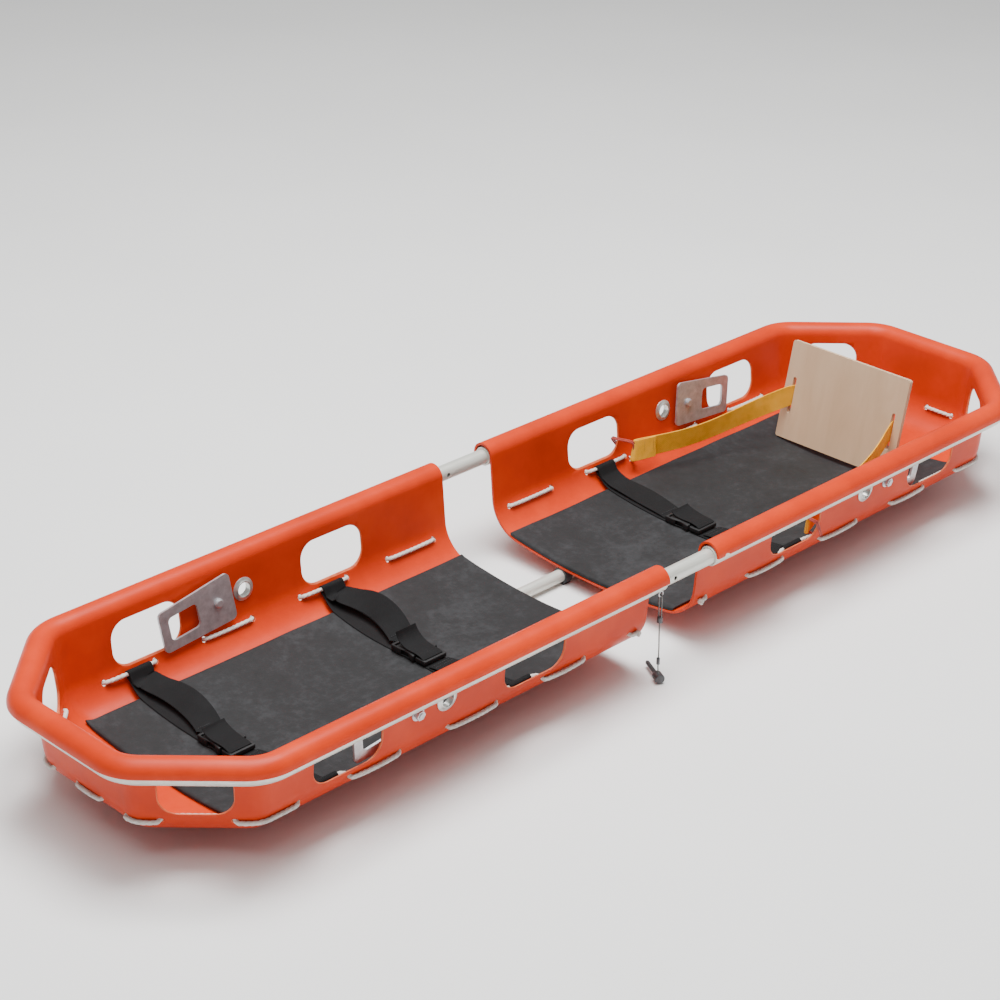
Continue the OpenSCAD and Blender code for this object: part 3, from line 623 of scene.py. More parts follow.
LANYARD_ROUTE = [tuple(c * MM for c in p) for p in (
    (-76, -301, 121), (-76, -301, 108), (-76, -301, 95), (-75.5, -301, 82), (-75, -301, 69),
    (-75, -301, 56), (-75.5, -301, 43), (-76, -301.5, 31), (-76.5, -303, 21), (-77.5, -306, 13.5),
    (-79.5, -310, 10.4))]
WIRE_DIAMETER = 2.5 * MM
PIN_START, PIN_HEADING = (-80 * MM, -312 * MM, 10 * MM), math.radians(63)


def make_pin():
    turn = Matrix.Rotation(PIN_HEADING, 4, "Z") @ Matrix.Rotation(math.pi / 2, 4, "Y")
    place = Matrix.Translation(PIN_START) @ turn
    profile = [(0, 0), (7.4, 0), (8.6, 0.7), (9, 1.8), (9, 5), (8.5, 5.6), (8.5, 6.6), (9, 7.2),
               (9, 10.2), (8.5, 10.8), (8.5, 11.8), (9, 12.4), (9, 17.6), (8.3, 19.2), (6.6, 20),
               (4, 20.2), (4, 54), (3.6, 54.5), (3.6, 56), (4, 56.5), (4, 63.6), (3.2, 65.6),
               (2, 68), (0, 68)]
    pin = lathe("locking_pin_turned", [(r * MM, h * MM) for r, h in profile], place, DARK_STEEL)
    return finish_piece(pin, "left_half", "wire_steel", "locking_pin")


def make_lanyard():
    pin = make_pin()
    path = even(LANYARD_ROUTE, 1.0 * MM)
    rings, along = [], distances(path)
    for (p, _, side, over), s in zip(carried_frames(path), along):
        rings.append([p + (side * math.cos(a) + over * math.sin(a)) * WIRE_DIAMETER / 2
                      * (0.86 + 0.14 * abs(math.cos(3 * (a - TAU * s / (14 * MM)))))
                      for a in (TAU * k / 24 for k in range(24))])
    points, faces = loft(rings)
    wire = make_object("lanyard_wire", points, faces, WIRE, 60)
    finish_piece(wire, "left_half", "wire_steel", "pin_lanyard")


make_lanyard()

# ---------------------------------------------------------------- shells


def shell_blank(half):
    visible, hidden = section(SHELL_WALL), section(0)
    rings = []
    for curve in (visible, hidden):
        rings.append([[on_half(half, (x, y, z)) for x, y in full_plan(RIM_Y - level_y)]
                      for level_y, z in curve])
    size = len(rings[0][0])
    levels = len(visible)
    points = [p for skin in rings for ring in skin for p in ring]
    base = levels * size

    def at(skin, level, i):
        return skin * base + level * size + i

    faces = []
    for skin in (0, 1):
        for level in range(levels - 1):
            for i in range(size - 1):
                faces.append((at(skin, level, i), at(skin, level, i + 1),
                              at(skin, level + 1, i + 1), at(skin, level + 1, i)))
    for i in range(size - 1):
        faces.append((at(0, 0, i), at(0, 0, i + 1), at(1, 0, i + 1), at(1, 0, i)))
    for level in range(levels - 1):
        for i in (0, size - 1):
            faces.append((at(0, level, i), at(0, level + 1, i), at(1, level + 1, i), at(1, level, i)))

    # The middle of the floor: rows from the last near line across to the far one, dished
    middle, rows = (size - 1) // 2, 6
    edge = []
    for skin, curve in ((0, visible), (1, hidden)):
        width, rim_z = curve[-1]
        low_z = floor_point(SHELL_WALL if skin == 0 else 0, 0)[1]
        columns = []
        for i in range(middle):
            near, far = at(skin, levels - 1, i), at(skin, levels - 1, size - 1 - i)
            x, y, _ = points[near]
            column = [near]
            for r in range(1, rows):
                f = 1 - 2 * r / rows
                dip = (rim_z - low_z) * (1 - f * f) * (y / width) ** 2
                column.append(len(points))
                points.append((x, y * f, rim_z - dip))
            columns.append(column + [far])
        for a, b in zip(columns, columns[1:]):
            for r in range(rows):
                faces.append((a[r], b[r], b[r + 1], a[r + 1]))
        tip = at(skin, levels - 1, middle)
        last = columns[-1]
        faces.append(tuple(last[:rows // 2 + 1]) + (tip,))
        faces.append(tuple(last[rows // 2:]) + (tip,))
        edge.append(columns[0])
    for r in range(rows):
        faces.append((edge[0][r], edge[0][r + 1], edge[1][r + 1], edge[1][r]))
    return make_object(f"{half}_shell_moulding", points, faces, [SHELL, SHELL_CUT], 40)


def flared_cutter(outline, place, flare=1.0 * MM, reach=30 * MM):
    """Points and faces of a cutter through the wall whose mouth opens at each face."""
    half = SHELL_WALL / 2
    stations = [(-reach, flare), (-half - 1.5 * MM, flare + 1.5 * MM), (-half, flare),
                (-half + 0.5 * flare, flare * 0.3),
                (-half + flare, 0), (half - flare, 0), (half - 0.5 * flare, flare * 0.3), (half, flare),
                (half + 1.5 * MM, flare + 1.5 * MM), (reach, flare)]
    size = max(abs(x) for x, _ in outline), max(abs(y) for _, y in outline)
    rings = []
    for depth, grow in stations:
        rings.append([place @ Vector((x * (1 + grow / size[0]), y * (1 + grow / size[1]), depth))
                      for x, y in outline])
    return loft(rings)


def rope_point(place, out):
    """A point of the near side's rope line, this far outside the shell's middle surface."""
    r = CORNER_RADIUS - SHELL_WALL / 2 + out
    return Vector((place, -CORNER_Y - r * math.cos(ROPE_TILT), CORNER_Z - r * math.sin(ROPE_TILT)))


def rope_inset(out):
    return RIM_Y + rope_point(0, out).y


def chamfer_point(part, out):
    s, z = rope_inset(out), rope_point(0, out).z
    start = Vector((RIM_X - END_CHAMFER - s * TAN_HALF, s - RIM_Y, z))
    finish = Vector((RIM_X - s, END_CHAMFER - RIM_Y + s * TAN_HALF, z))
    return start.lerp(finish, part)


def end_point(y, out):
    return Vector((RIM_X - rope_inset(out), y, rope_point(0, out).z))


def rope_hole_frame(point, heading):
    return Matrix.Translation(point) @ Matrix.Rotation(heading, 4, "Z") @ \
        Matrix.Rotation(math.pi / 2 + ROPE_TILT, 4, "Y")


BOLT_HOLE, GROMMET_HOLE, ROPE_HOLE, LOOP_HOLE, RIVET_HOLE = 5 * MM, 16.5 * MM, 5.5 * MM, 4.2 * MM, 2.5 * MM


def shell_cutters(half):
    """Every opening of a shell, as (points, faces) in the half's own place."""
    cuts = []
    round_hole = circle_outline(ROPE_HOLE)

    def cut(outline, place, *flare_and_reach):
        cuts.append(flared_cutter(outline, place, *flare_and_reach))

    for side in (Matrix.Identity(4), MIRROR_Y):
        for place in HAND_HOLE_PLACES:
            cut(rounded_outline(*HAND_HOLE), side @ wall_frame(place, HAND_HOLE_Z), 1.6 * MM)
        cut(rounded_outline(*END_HOLE), side @ chamfer_frame(HAND_HOLE_Z), 1.6 * MM)
        cut(circle_outline(BOLT_HOLE), side @ wall_frame(BOLT_PLACE, FEATURE_Z), 0.4 * MM)
        cut(circle_outline(GROMMET_HOLE, 40), side @ wall_frame(GROMMET_PLACE, FEATURE_Z), 0.4 * MM)
        for place in ROPE_SIDE_HOLES:
            cut(round_hole, side @ rope_hole_frame(rope_point(place, 0), -math.pi / 2), 0.9 * MM, 12 * MM)
        for part in ROPE_CHAMFER_HOLES:
            frame_here = rope_hole_frame(chamfer_point(part, 0), -math.pi / 4)
            cut(round_hole, side @ frame_here, 0.9 * MM, 12 * MM)
        for y in ROPE_END_HOLES:
            cut(round_hole, side @ rope_hole_frame(end_point(-y, 0), 0), 0.9 * MM, 12 * MM)
        if half == "right":
            low = loop_leg_holes()[1]
            cut(circle_outline(LOOP_HOLE), side @ wall_frame(*low), 0.4 * MM)
            pin = Matrix.Translation((25 * MM, RIM_Y + 18 * MM, RIM_Z - 4 * MM))
            pin = pin @ Matrix.Rotation(-math.pi / 2, 4, "X")
            cut(circle_outline(6 * MM), side @ pin, 0.4 * MM, 10 * MM)
        for place in SADDLE_PLACES:
            for across in (-RIVET_REACH, RIVET_REACH):
                spot = Matrix.Translation((place, RUNNER_Y + across, FLOOR_HEIGHT + 3 * MM))
                cut(circle_outline(RIVET_HOLE, 16), side @ spot, 0.1 * MM, 12 * MM)
    return cuts


LOOP_TURN, LOOP_RADIUS, LOOP_HOLE_REACH = math.radians(-55.6), 34.5 * MM, 33.2 * MM


def loop_leg_holes():
    """(place, height) of the cord loop's two passes through the wall: hand hole, then its own hole."""
    along = Vector((math.cos(LOOP_TURN), math.sin(LOOP_TURN)))
    upper = Vector((LOOP_PLACE, LOOP_Z)) - along * LOOP_RADIUS
    lower = Vector((LOOP_PLACE, LOOP_Z)) + along * LOOP_HOLE_REACH
    return tuple(upper), tuple(lower)


def make_shell(half):
    shell = shell_blank(half)
    points, faces = [], []
    for cut_points, cut_faces in shell_cutters(half):
        base = len(points)
        points += [on_half(half, p) for p in cut_points]
        faces += [tuple(base + v for v in f) for f in cut_faces]
    cutter = make_object(f"{half}_cutter", points, faces, [SHELL, SHELL_CUT])
    cutter.data.polygons.foreach_set("material_index", [1] * len(cutter.data.polygons))
    cut = shell.modifiers.new("openings", "BOOLEAN")
    cut.operation, cut.solver, cut.object = "DIFFERENCE", "EXACT", cutter
    apply_modifiers(shell)
    bpy.data.objects.remove(cutter)
    smooth(shell.data, 32)
    return finish_piece(shell, f"{half}_half", "shell_plastic", f"{half}_shell")


# ---------------------------------------------------------------- rim tubes

TUBE_RADIUS, SPIGOT_RADIUS, TUBE_Z = 19 * MM, 15 * MM, 196 * MM


def make_rim_tube(half):
    """One bent tube round the end, open at both split faces so that the spigots run in it."""
    plan = full_plan(0, sides=30, bend=16, chamfer=4, end=5)
    path = [Vector(on_half(half, (x, y, TUBE_Z))) for x, y in plan]
    sides, bore = 40, SPIGOT_RADIUS + 0.4 * MM
    frames = frames_along(path, (0, 0, 1))
    lip = 0.6 * MM
    rings = []

    def ring(i, radius, shift=0.0):
        p, ahead, side, over = frames[i]
        turns = [TAU * k / sides for k in range(sides)]
        return [p + ahead * shift + (side * math.cos(a) + over * math.sin(a)) * radius for a in turns]

    last = len(path) - 1
    rings.append(ring(0, TUBE_RADIUS - lip))
    rings.append(ring(0, TUBE_RADIUS, lip))
    rings += [ring(i, TUBE_RADIUS) for i in range(1, last)]
    rings.append(ring(last, TUBE_RADIUS, -lip))
    rings.append(ring(last, TUBE_RADIUS - lip))
    rings.append(ring(last, bore + lip / 2))
    rings.append(ring(last, bore, -lip))
    rings += [ring(i, bore) for i in range(last - 1, 0, -1)]
    rings.append(ring(0, bore, lip))
    rings.append(ring(0, bore + lip / 2))
    points, faces = loft(rings, caps=False)
    end = (len(rings) - 1) * sides
    faces += [(end + k, end + (k + 1) % sides, (k + 1) % sides, k) for k in range(sides)]
    piece = make_object(f"{half}_rim_tube_bent", points, faces, TUBE, 35)
    return finish_piece(piece, f"{half}_half", "tube_metal", f"{half}_rim_tube")


# ---------------------------------------------------------------- lacing rope


def passing(point_at, way):
    steps = ((-3, ROPE_CLEAR), (-0.8, 2.2 * MM), (0.8, -2.2 * MM), (3, -ROPE_CLEAR))
    return [point_at(along, way * out) for along, out in steps]


def rope_route(strap_places):
    """The rope's centreline round one half, weaving in and out of the shell."""
    near = [rope_point(20 * MM, ROPE_CLEAR)]
    for i, place in enumerate(ROPE_SIDE_HOLES):
        inward = i % 2 == 0
        near += passing(lambda s, out: rope_point(place + s * MM, out), 1 if inward else -1)
        if i == len(ROPE_SIDE_HOLES) - 1:
            break
        span = ROPE_SIDE_HOLES[i + 1] - place
        held = inward and any(place < s < place + 115 * MM for s in strap_places)
        if held:
            near += [rope_point(place + 14 * MM, -ROPE_BOW), rope_point(place + 88 * MM, -ROPE_BOW)]
        else:
            out = -ROPE_CLEAR if inward else ROPE_CLEAR
            sag = Vector((0, 0, -2.5 * MM if not inward else -1 * MM))
            near += [rope_point(place + span * t, out) + sag * math.sin(math.pi * t)
                     for t in (0.25, 0.5, 0.75)]
    plan = near_plan(rope_inset(ROPE_CLEAR), sides=40, bend=4, chamfer=2, end=2)
    z = rope_point(0, ROPE_CLEAR).z
    near += [Vector((x, y, z)) for x, y in plan[40:45]]
    near += passing(lambda s, out: chamfer_point(ROPE_CHAMFER_HOLES[0] + s / 200, out), 1)
    near += passing(lambda s, out: chamfer_point(ROPE_CHAMFER_HOLES[1] + s / 200, out), -1)
    near += [Vector((x, y, z)) for x, y in plan[46:51]]
    near += passing(lambda s, out: end_point(-ROPE_END_HOLES[0] + s * MM, out), 1)
    near += passing(lambda s, out: end_point(-ROPE_END_HOLES[1] + s * MM, out), -1)
    return near + [MIRROR_Y @ p for p in reversed(near)]


def stopper_knot(half, side):
    """A small overhand knot where the rope starts."""
    centre = rope_point(20 * MM, ROPE_CLEAR + 1.5 * MM)
    centre = MIRROR_Y @ centre if side > 0 else centre
    centre = Vector(on_half(half, centre))
    path = []
    for t in spread(0, TAU, 60)[:-1]:
        r = (2.6 + 1.4 * math.cos(3 * t)) * MM
        path.append(centre + Vector((1.6 * MM * math.sin(3 * t), r * math.cos(2 * t), r * math.sin(2 * t))))
    return tube(f"{half}_knot_{side}", path, 2.9 * MM, ROPE, 14, closed=True)


def make_rope(half, strap_places):
    route = [on_half(half, p) for p in rope_route(strap_places)]
    strand = twisted_rope(f"{half}_strand", route, ROPE_RADIUS, ROPE, 30 * MM)
    piece = join(f"{half}_lacing_rope", [strand, stopper_knot(half, -1), stopper_knot(half, 1)])
    return finish_piece(piece, f"{half}_half", "rope_fibre", f"{half}_rope")


# ---------------------------------------------------------------- mats

MAT_START, MAT_LENGTH, MAT_HALF_WIDTH, MAT_THICKNESS = 0.5 * MM, 879 * MM, 210 * MM, 8 * MM
MAT_CLEARANCE = 0.5 * MM
MAT_TOP = SHELL_WALL + MAT_CLEARANCE + MAT_THICKNESS


def floor_level(reach):
    """Height of the shell's inner surface where the section reaches this far from the centre line."""
    reach = abs(reach)
    r = FLOOR_RADIUS - SHELL_WALL
    if reach < r * math.sin(FLOOR_ANGLE):
        return FLOOR_CENTRE_Z - math.sqrt(r * r - reach * reach)
    r = CORNER_RADIUS - SHELL_WALL
    return CORNER_Z - math.sqrt(max(0.0, r * r - (reach - CORNER_Y) ** 2))


def shell_reach(x, y):
    """How far out on the section a place of the floor lies, with the end and its cut-off corners."""
    corner_inset = (RIM_X + RIM_Y - END_CHAMFER - x - abs(y)) / math.sqrt(2)
    return max(abs(y), x - (RIM_X - RIM_Y) + 3 * MM, RIM_Y - corner_inset + 3 * MM)


def make_mat(half, seed):
    """A foam mat on the dished floor, with soft edges, slight waves and shallow dents."""
    columns, rows = 150, 72
    edge = [0.0, 0.6 * MM, 1.6 * MM, 3.2 * MM, 6 * MM]
    xs = edge + spread(9 * MM, MAT_LENGTH - 9 * MM, columns) + [MAT_LENGTH - e for e in reversed(edge)]
    width = 2 * MAT_HALF_WIDTH
    ys = edge + spread(9 * MM, width - 9 * MM, rows) + [width - e for e in reversed(edge)]
    shift = Vector((seed * 3.1, seed * 1.7, 0))
    points = []
    for skin in (0, 1):
        for x in xs:
            for y in ys:
                near_edge = min(x, MAT_LENGTH - x, y, width - y)
                wander = 1.4 * MM * noise.noise(Vector((x * 9, y * 9, skin)) + shift)
                place = MAT_START + x + wander * min(1.0, x / (30 * MM))
                across = y - MAT_HALF_WIDTH + wander
                ground = floor_level(shell_reach(place, across)) + MAT_CLEARANCE
                wave = 0.5 + 0.5 * noise.noise(Vector((place * 5, across * 5, 0)) + shift)
                dent = noise.noise(Vector((place * 22, across * 22, 5)) + shift)
                round_off = 3 * MM * (1 - min(1.0, near_edge / (6 * MM))) ** 2
                if skin == 0:
                    z = ground + MAT_THICKNESS + 0.5 * MM * wave + 0.45 * MM * dent - round_off
                else:
                    z = ground + round_off * 0.4
                points.append(on_half(half, (place, across, z)))
    size, count = len(ys), len(xs) * len(ys)
    faces = []
    for i in range(len(xs) - 1):
        for j in range(size - 1):
            a = i * size + j
            faces.append((a, a + 1, a + size + 1, a + size))
            faces.append((count + a, count + a + size, count + a + size + 1, count + a + 1))
    border = [j for j in range(size)]
    border += [i * size + size - 1 for i in range(1, len(xs))]
    border += [(len(xs) - 1) * size + j for j in range(size - 2, -1, -1)]
    border += [i * size for i in range(len(xs) - 2, 0, -1)]
    for a, b in zip(border, border[1:] + border[:1]):
        faces.append((a, b, count + b, count + a))
    mat = make_object(f"{half}_floor_mat", points, faces, FOAM, 60)
    return finish_piece(mat, f"{half}_half", "mat_foam", f"{half}_mat")


# ---------------------------------------------------------------- body straps

WEB_THICKNESS, STRAP_WIDTH = 2.0 * MM, 50 * MM
STRAP_LIFT = 0.8 * MM
SOCKET_FAR, SOCKET_NEAR, TONGUE_NEAR = 52 * MM, -8 * MM, -36 * MM
BUCKLE_BASE, BUCKLE_HEIGHT = FLOOR_HEIGHT + MAT_TOP + 1.5 * MM, 15 * MM


def strap_line(inside, start_y):
    """One ply from beside the buckle out across the mat and up the corner, as (distance out, height)."""
    r = FLOOR_RADIUS - inside
    first = math.asin(start_y / r)
    flat = [floor_point(inside, a) for a in spread(first, math.radians(8.7), 14)]
    climb = [corner_point(inside, math.radians(a - 90)) for a in (13, 18, 23, 28, 33, 38, 43, 48)]
    return flat + climb


def face_ribbon(name, points, width_axis, width, thickness, material, tilt=None):
    """Webbing whose width stays along one axis, whatever way its path turns."""
    axis = Vector(width_axis).normalized()
    rows = [-1, -0.97, -0.9, -0.6, -0.3, 0, 0.3, 0.6, 0.9, 0.97, 1]
    path = [Vector(p) for p in points]
    along, rings, uvs = distances(path), [], []
    for i, p in enumerate(path):
        ahead = (path[min(i + 1, len(path) - 1)] - path[max(i - 1, 0)]).normalized()
        lean = (axis - ahead * axis.dot(ahead)).normalized()
        if tilt:
            lean = (lean * math.cos(tilt[i]) + ahead.cross(lean) * math.sin(tilt[i])).normalized()
        over = ahead.cross(lean).normalized()
        ring = []
        for t, sign in [(t, 1) for t in rows] + [(t, -1) for t in reversed(rows)]:
            edge = thickness / 2 * (0.5 if abs(t) == 1 else 1)
            ring.append(p + lean * (width / 2 * t) + over * (sign * edge))
            uvs.append((width / 2 * t, along[i]))
        rings.append(ring)
    made, faces = loft(rings)
    return make_object(name, made, faces, material, 50, uvs)


def stitches(name, points, material, radius=0.45 * MM, length=3.2 * MM, pitch=4.6 * MM):
    """A run of raised thread stitches along a path that lies on the cloth."""
    path = even(points, 0.5 * MM)
    along, start = distances(path), 0.0
    all_points, all_faces = [], []
    while start + length < along[-1]:
        inside = [p for p, s in zip(path, along) if start <= s <= start + length]
        frames = carried_frames(inside)
        ring_list = []
        for j, (p, _, side, over) in enumerate(frames):
            size = radius * math.sin(math.pi * (0.12 + 0.76 * j / (len(frames) - 1))) ** 0.5
            ring_list.append([p + (side * math.cos(TAU * k / 6) + over * math.sin(TAU * k / 6)) * size
                              for k in range(6)])
        pts, fcs = loft(ring_list)
        base = len(all_points)
        all_points += pts
        all_faces += [tuple(base + v for v in f) for f in fcs]
        start += pitch
    return make_object(name, all_points, all_faces, material, 60)


PLY_LAG = 12 * MM  # how much further out the upper ply starts


def strap_piece(name, half, place, side, start_y, arch, spread_low, spread_high, twist):
    """Two plies from the buckle to the rope; the slack upper one arches, drifts aside and twists a little."""
    arch += STRAP_WIDTH / 2 * math.sin(twist)
    eye = rope_point(0, -ROPE_BOW)
    eye = (-eye.y, eye.z)
    under_inside = MAT_TOP + STRAP_LIFT + WEB_THICKNESS / 2
    over_inside = under_inside + WEB_THICKNESS + 0.3 * MM
    under = strap_line(under_inside, start_y)
    over = strap_line(over_inside, start_y + PLY_LAG)
    reach = distances([Vector((0, y, z)) for y, z in over])
    rise = [arch * math.sin(math.pi * d / reach[-1]) ** 0.7 for d in reach]
    over = [(y - 0.25 * up * d / reach[-1], z + up) for (y, z), d, up in zip(over, reach, rise)]
    wrap = ROPE_RADIUS + 0.4 * MM + WEB_THICKNESS / 2
    turn = [(eye[0] + wrap * math.cos(a), eye[1] + wrap * math.sin(a))
            for a in spread(math.radians(-30), math.radians(170), 14)]
    line = [Vector((0, y, z)) for y, z in under + turn + list(reversed(over))]
    marks = distances(line)
    low_end, high_start = marks[len(under) - 1], marks[len(under) + len(turn)]
    path = even(rounded(line, 1), 3 * MM)
    towards = 1 if half == "right" else -1
    points, tilt = [], []
    for p, s in zip(path, distances(path)):
        low = max(0.0, min(1.0, s / low_end))
        high = max(0.0, min(1.0, (s - high_start) / (marks[-1] - high_start)))
        shift = spread_high * math.sin(math.pi * high) ** 0.7 - spread_low * math.sin(math.pi * low)
        askew = 1 / (1 + math.exp(-(s - high_start) / (12 * MM)))
        x = place + towards * (shift + 2.5 * MM * (askew - 0.5)) + 1.0 * MM * math.sin(s * 17 + place * 40)
        points.append(Vector(on_half(half, (x, side * p.y, p.z))))
        tilt.append(twist * math.sin(math.pi * high) + 0.05 * math.sin(math.pi * high) * math.sin(s * 40))
    web = face_ribbon(name + "_web", points, (1, 0, 0), STRAP_WIDTH, WEB_THICKNESS, BLACK_WEB, tilt)
    # A sewn bar holds the doubled end down
    seams = []
    for n in range(2):
        y = start_y + (17 + n * 9) * MM
        near = min(points[len(points) // 2:], key=lambda q: abs(abs(q.y) - y))
        top = near.z + WEB_THICKNESS / 2 + 0.1 * MM
        run = [Vector((near.x + t, side * y, top)) for t in (-21 * MM, 21 * MM)]
        seams.append(stitches(f"{name}_seam{n}", run, THREAD_DARK))
    return join(name, [web] + seams)


# ---------------------------------------------------------------- buckles


def solid_outline(name, outline, z0, z1, place, material, bevel=1.2 * MM, segments=3):
    """An extruded outline with rounded edges."""
    low = [place @ Vector((x, y, z0)) for x, y in outline]
    high = [place @ Vector((x, y, z1)) for x, y in outline]
    points, faces = loft([low, high])
    obj = make_object(name, points, faces, material, 40)
    round_edges(obj, bevel, segments)
    return obj


def round_edges(obj, width, segments=3, angle=35.0):
    rounder = obj.modifiers.new("edges", "BEVEL")
    rounder.width, rounder.segments = width, segments
    rounder.limit_method, rounder.angle_limit = "ANGLE", math.radians(angle)
    apply_modifiers(obj)
    smooth(obj.data, 40)


def carve(obj, cutters):
    for cutter in cutters:
        cut = obj.modifiers.new("carve", "BOOLEAN")
        cut.operation, cut.solver, cut.object = "DIFFERENCE", "EXACT", cutter
        apply_modifiers(obj)
        bpy.data.objects.remove(cutter)
    smooth(obj.data, 40)


def block(name, low, high, place, material=BUCKLE):
    x0, y0, z0 = low
    x1, y1, z1 = high
    points = [place @ Vector(p) for p in (
        (x0, y0, z0), (x1, y0, z0), (x1, y1, z0), (x0, y1, z0),
        (x0, y0, z1), (x1, y0, z1), (x1, y1, z1), (x0, y1, z1))]
    faces = [(0, 3, 2, 1), (4, 5, 6, 7), (0, 1, 5, 4), (1, 2, 6, 5), (2, 3, 7, 6), (3, 0, 4, 7)]
    return make_object(name, points, faces, material, 40)


def buckle_place(half, place):
    x = on_half(half, (place, 0, 0))[0]
    return Matrix.Translation((x, 0, BUCKLE_BASE))


def make_socket(strap, half, place):
    """The buckle's female part: a waisted shell with side windows and a bar for the webbing."""
    spot = buckle_place(half, place)
    w, far, near = 30 * MM, SOCKET_FAR, SOCKET_NEAR
    outline = []
    for y in spread(near, far, 20):
        t = (y - near) / (far - near)
        waist = w - 3.2 * MM * math.sin(math.pi * min(1.0, t * 1.35)) ** 2 - 1.5 * MM * t
        outline.append((waist, y))
    outline = [(x, y) for x, y in outline] + [(-x, y) for x, y in reversed(outline)]
    body = solid_outline(f"{strap}_socket_body", outline, 0.4 * MM, BUCKLE_HEIGHT - 0.6 * MM, spot,
                         BUCKLE, 3.0 * MM, 4)
    cuts = [block("mouth", (-24 * MM, near - 5 * MM, 3.4 * MM), (24 * MM, 36.5 * MM, 11.4 * MM), spot)]
    for side in (-1, 1):
        x0, x1 = sorted((side * 21 * MM, side * 36 * MM))
        cuts.append(block("window", (x0, 6 * MM, 2.6 * MM), (x1, 26 * MM, 12.2 * MM), spot))
    cuts.append(block("web_slot", (-26 * MM, 40 * MM, -2 * MM), (26 * MM, 45.5 * MM, 20 * MM), spot))
    cuts.append(block("grip", (-12 * MM, near + 8 * MM, 13.4 * MM), (12 * MM, near + 11 * MM, 20 * MM), spot))
    carve(body, cuts)
    round_edges(body, 0.5 * MM, 2, 30)
    return finish_piece(body, f"{half}_half", "buckle_plastic", f"{strap}_buckle_socket")


def make_tongue(strap, half, place):
    """The male part: two springing prongs, a guide and a ladder of bars."""
    spot = buckle_place(half, place)
    base_z = BUCKLE_HEIGHT / 2
    parts = []
    yoke_spot = spot @ Matrix.Translation((0, (TONGUE_NEAR + SOCKET_NEAR - 1 * MM) / 2, 0))
    yoke = solid_outline("yoke", rounded_outline(54 * MM, 27 * MM, 4 * MM),
                         base_z - 4.4 * MM, base_z + 4.4 * MM, yoke_spot, BUCKLE, 1.5 * MM)
    carve(yoke, [block("slot_a", (-22 * MM, -31 * MM, -5 * MM), (22 * MM, -26.5 * MM, 25 * MM), spot),
                 block("slot_b", (-22 * MM, -22.5 * MM, -5 * MM), (22 * MM, -18 * MM, 25 * MM), spot)])
    round_edges(yoke, 0.5 * MM, 2, 30)
    parts.append(yoke)
    for side in (-1, 1):
        prong = [(side * x * MM, y * MM) for x, y in (
            (21.5, -12), (23.2, 2), (23.4, 8), (23.6, 22), (22.4, 27), (18.5, 32.8), (15.5, 33), (15.2, 28),
            (16.2, 14), (16, 2), (14.5, -12))]
        parts.append(solid_outline("prong", prong, base_z - 2.9 * MM, base_z + 2.9 * MM, spot,
                                   BUCKLE, 0.9 * MM))
    guide = [(x * MM, y * MM) for x, y in (
        (-4, -12), (4, -12), (3, 24), (1.5, 29), (-1.5, 29), (-3, 24))]
    parts.append(solid_outline("guide", guide, base_z - 2.0 * MM, base_z + 2.0 * MM, spot,
                               BUCKLE, 0.7 * MM))
    piece = join(f"{strap}_buckle_tongue_moulded", parts)
    return finish_piece(piece, f"{strap}_buckle", "buckle_plastic", f"{strap}_buckle_tongue")


STRAP_SLACK = {
    "head": (9 * MM, 2 * MM, 15 * MM, math.radians(16)),
    "chest": (12 * MM, 3 * MM, 19 * MM, math.radians(30)),
    "leg": (3 * MM, 2 * MM, 4 * MM, math.radians(6)),
}
STRAP_CURLS = {"head": 0.5, "chest": 1.0, "leg": 0.35}


def make_strap_end(strap, half, place):
    """The loose end of the webbing, pulled through the tongue's bars and curling up off the mat."""
    lift = floor_point(MAT_TOP, 0)[1]
    line = [(-30, 13.5), (-24, 16.0), (-17, 17.2), (-8, 17.8), (4, 18.2), (16, 20), (27, 25),
            (36, 33), (41, 43)]
    curl = STRAP_CURLS[strap]
    flat = 18.2  # height in mm up to which the end lies along the buckle
    line = [(y, z if z <= flat else flat + (z - flat) * curl) for y, z in line]
    points = [on_half(half, (place + 2 * MM, y * MM, lift + z * MM)) for y, z in line]
    path = even(rounded(points, 2), 2 * MM)
    tilt = [0.06 * math.sin(i * 0.15) for i in range(len(path))]
    piece = face_ribbon(f"{strap}_strap_end", path, (1, 0, 0), STRAP_WIDTH * 0.94, 1.7 * MM, BLACK_WEB, tilt)
    return finish_piece(piece, f"{strap}_buckle", "strap_webbing")


def make_body_strap(strap, half, place):
    body, tongue_body = f"{half}_half", f"{strap}_buckle"
    far = strap_piece(f"{strap}_webbing_far", half, place, 1, 43 * MM, *STRAP_SLACK[strap])
    finish_piece(far, body, "strap_webbing", f"{strap}_strap_far")
    near = strap_piece(f"{strap}_webbing_near", half, place, -1, 30 * MM, 6 * MM, 2 * MM, 2 * MM, 0)
    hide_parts(f"{strap}_strap_near")
    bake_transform(near)
    make_socket(strap, half, place)
    make_tongue(strap, half, place)
    make_strap_end(strap, half, place)


# ---------------------------------------------------------------- footrest

BOARD_PLACE, BOARD_LEAN, BOARD_THICKNESS = 735 * MM, math.radians(12), 9 * MM
SLOT_Y, SLOT_MIDDLE = 128 * MM, 95 * MM
FOOT_WEB_WIDTH, FOOT_WEB_THICKNESS = 44 * MM, 2.2 * MM


def board_rise():
    r = FLOOR_RADIUS - MAT_TOP
    lift = 0.6 * MM + BOARD_THICKNESS * math.sin(BOARD_LEAN)
    return FLOOR_CENTRE_Z + lift - math.sqrt(r * r - (150 * MM) ** 2)


def board_at(depth, y, up):
    """A point of the board: depth behind its front face, up along it."""
    c, s = math.cos(BOARD_LEAN), math.sin(BOARD_LEAN)
    return Vector((BOARD_PLACE + up * s + depth * c, y, board_rise() + up * c - depth * s))


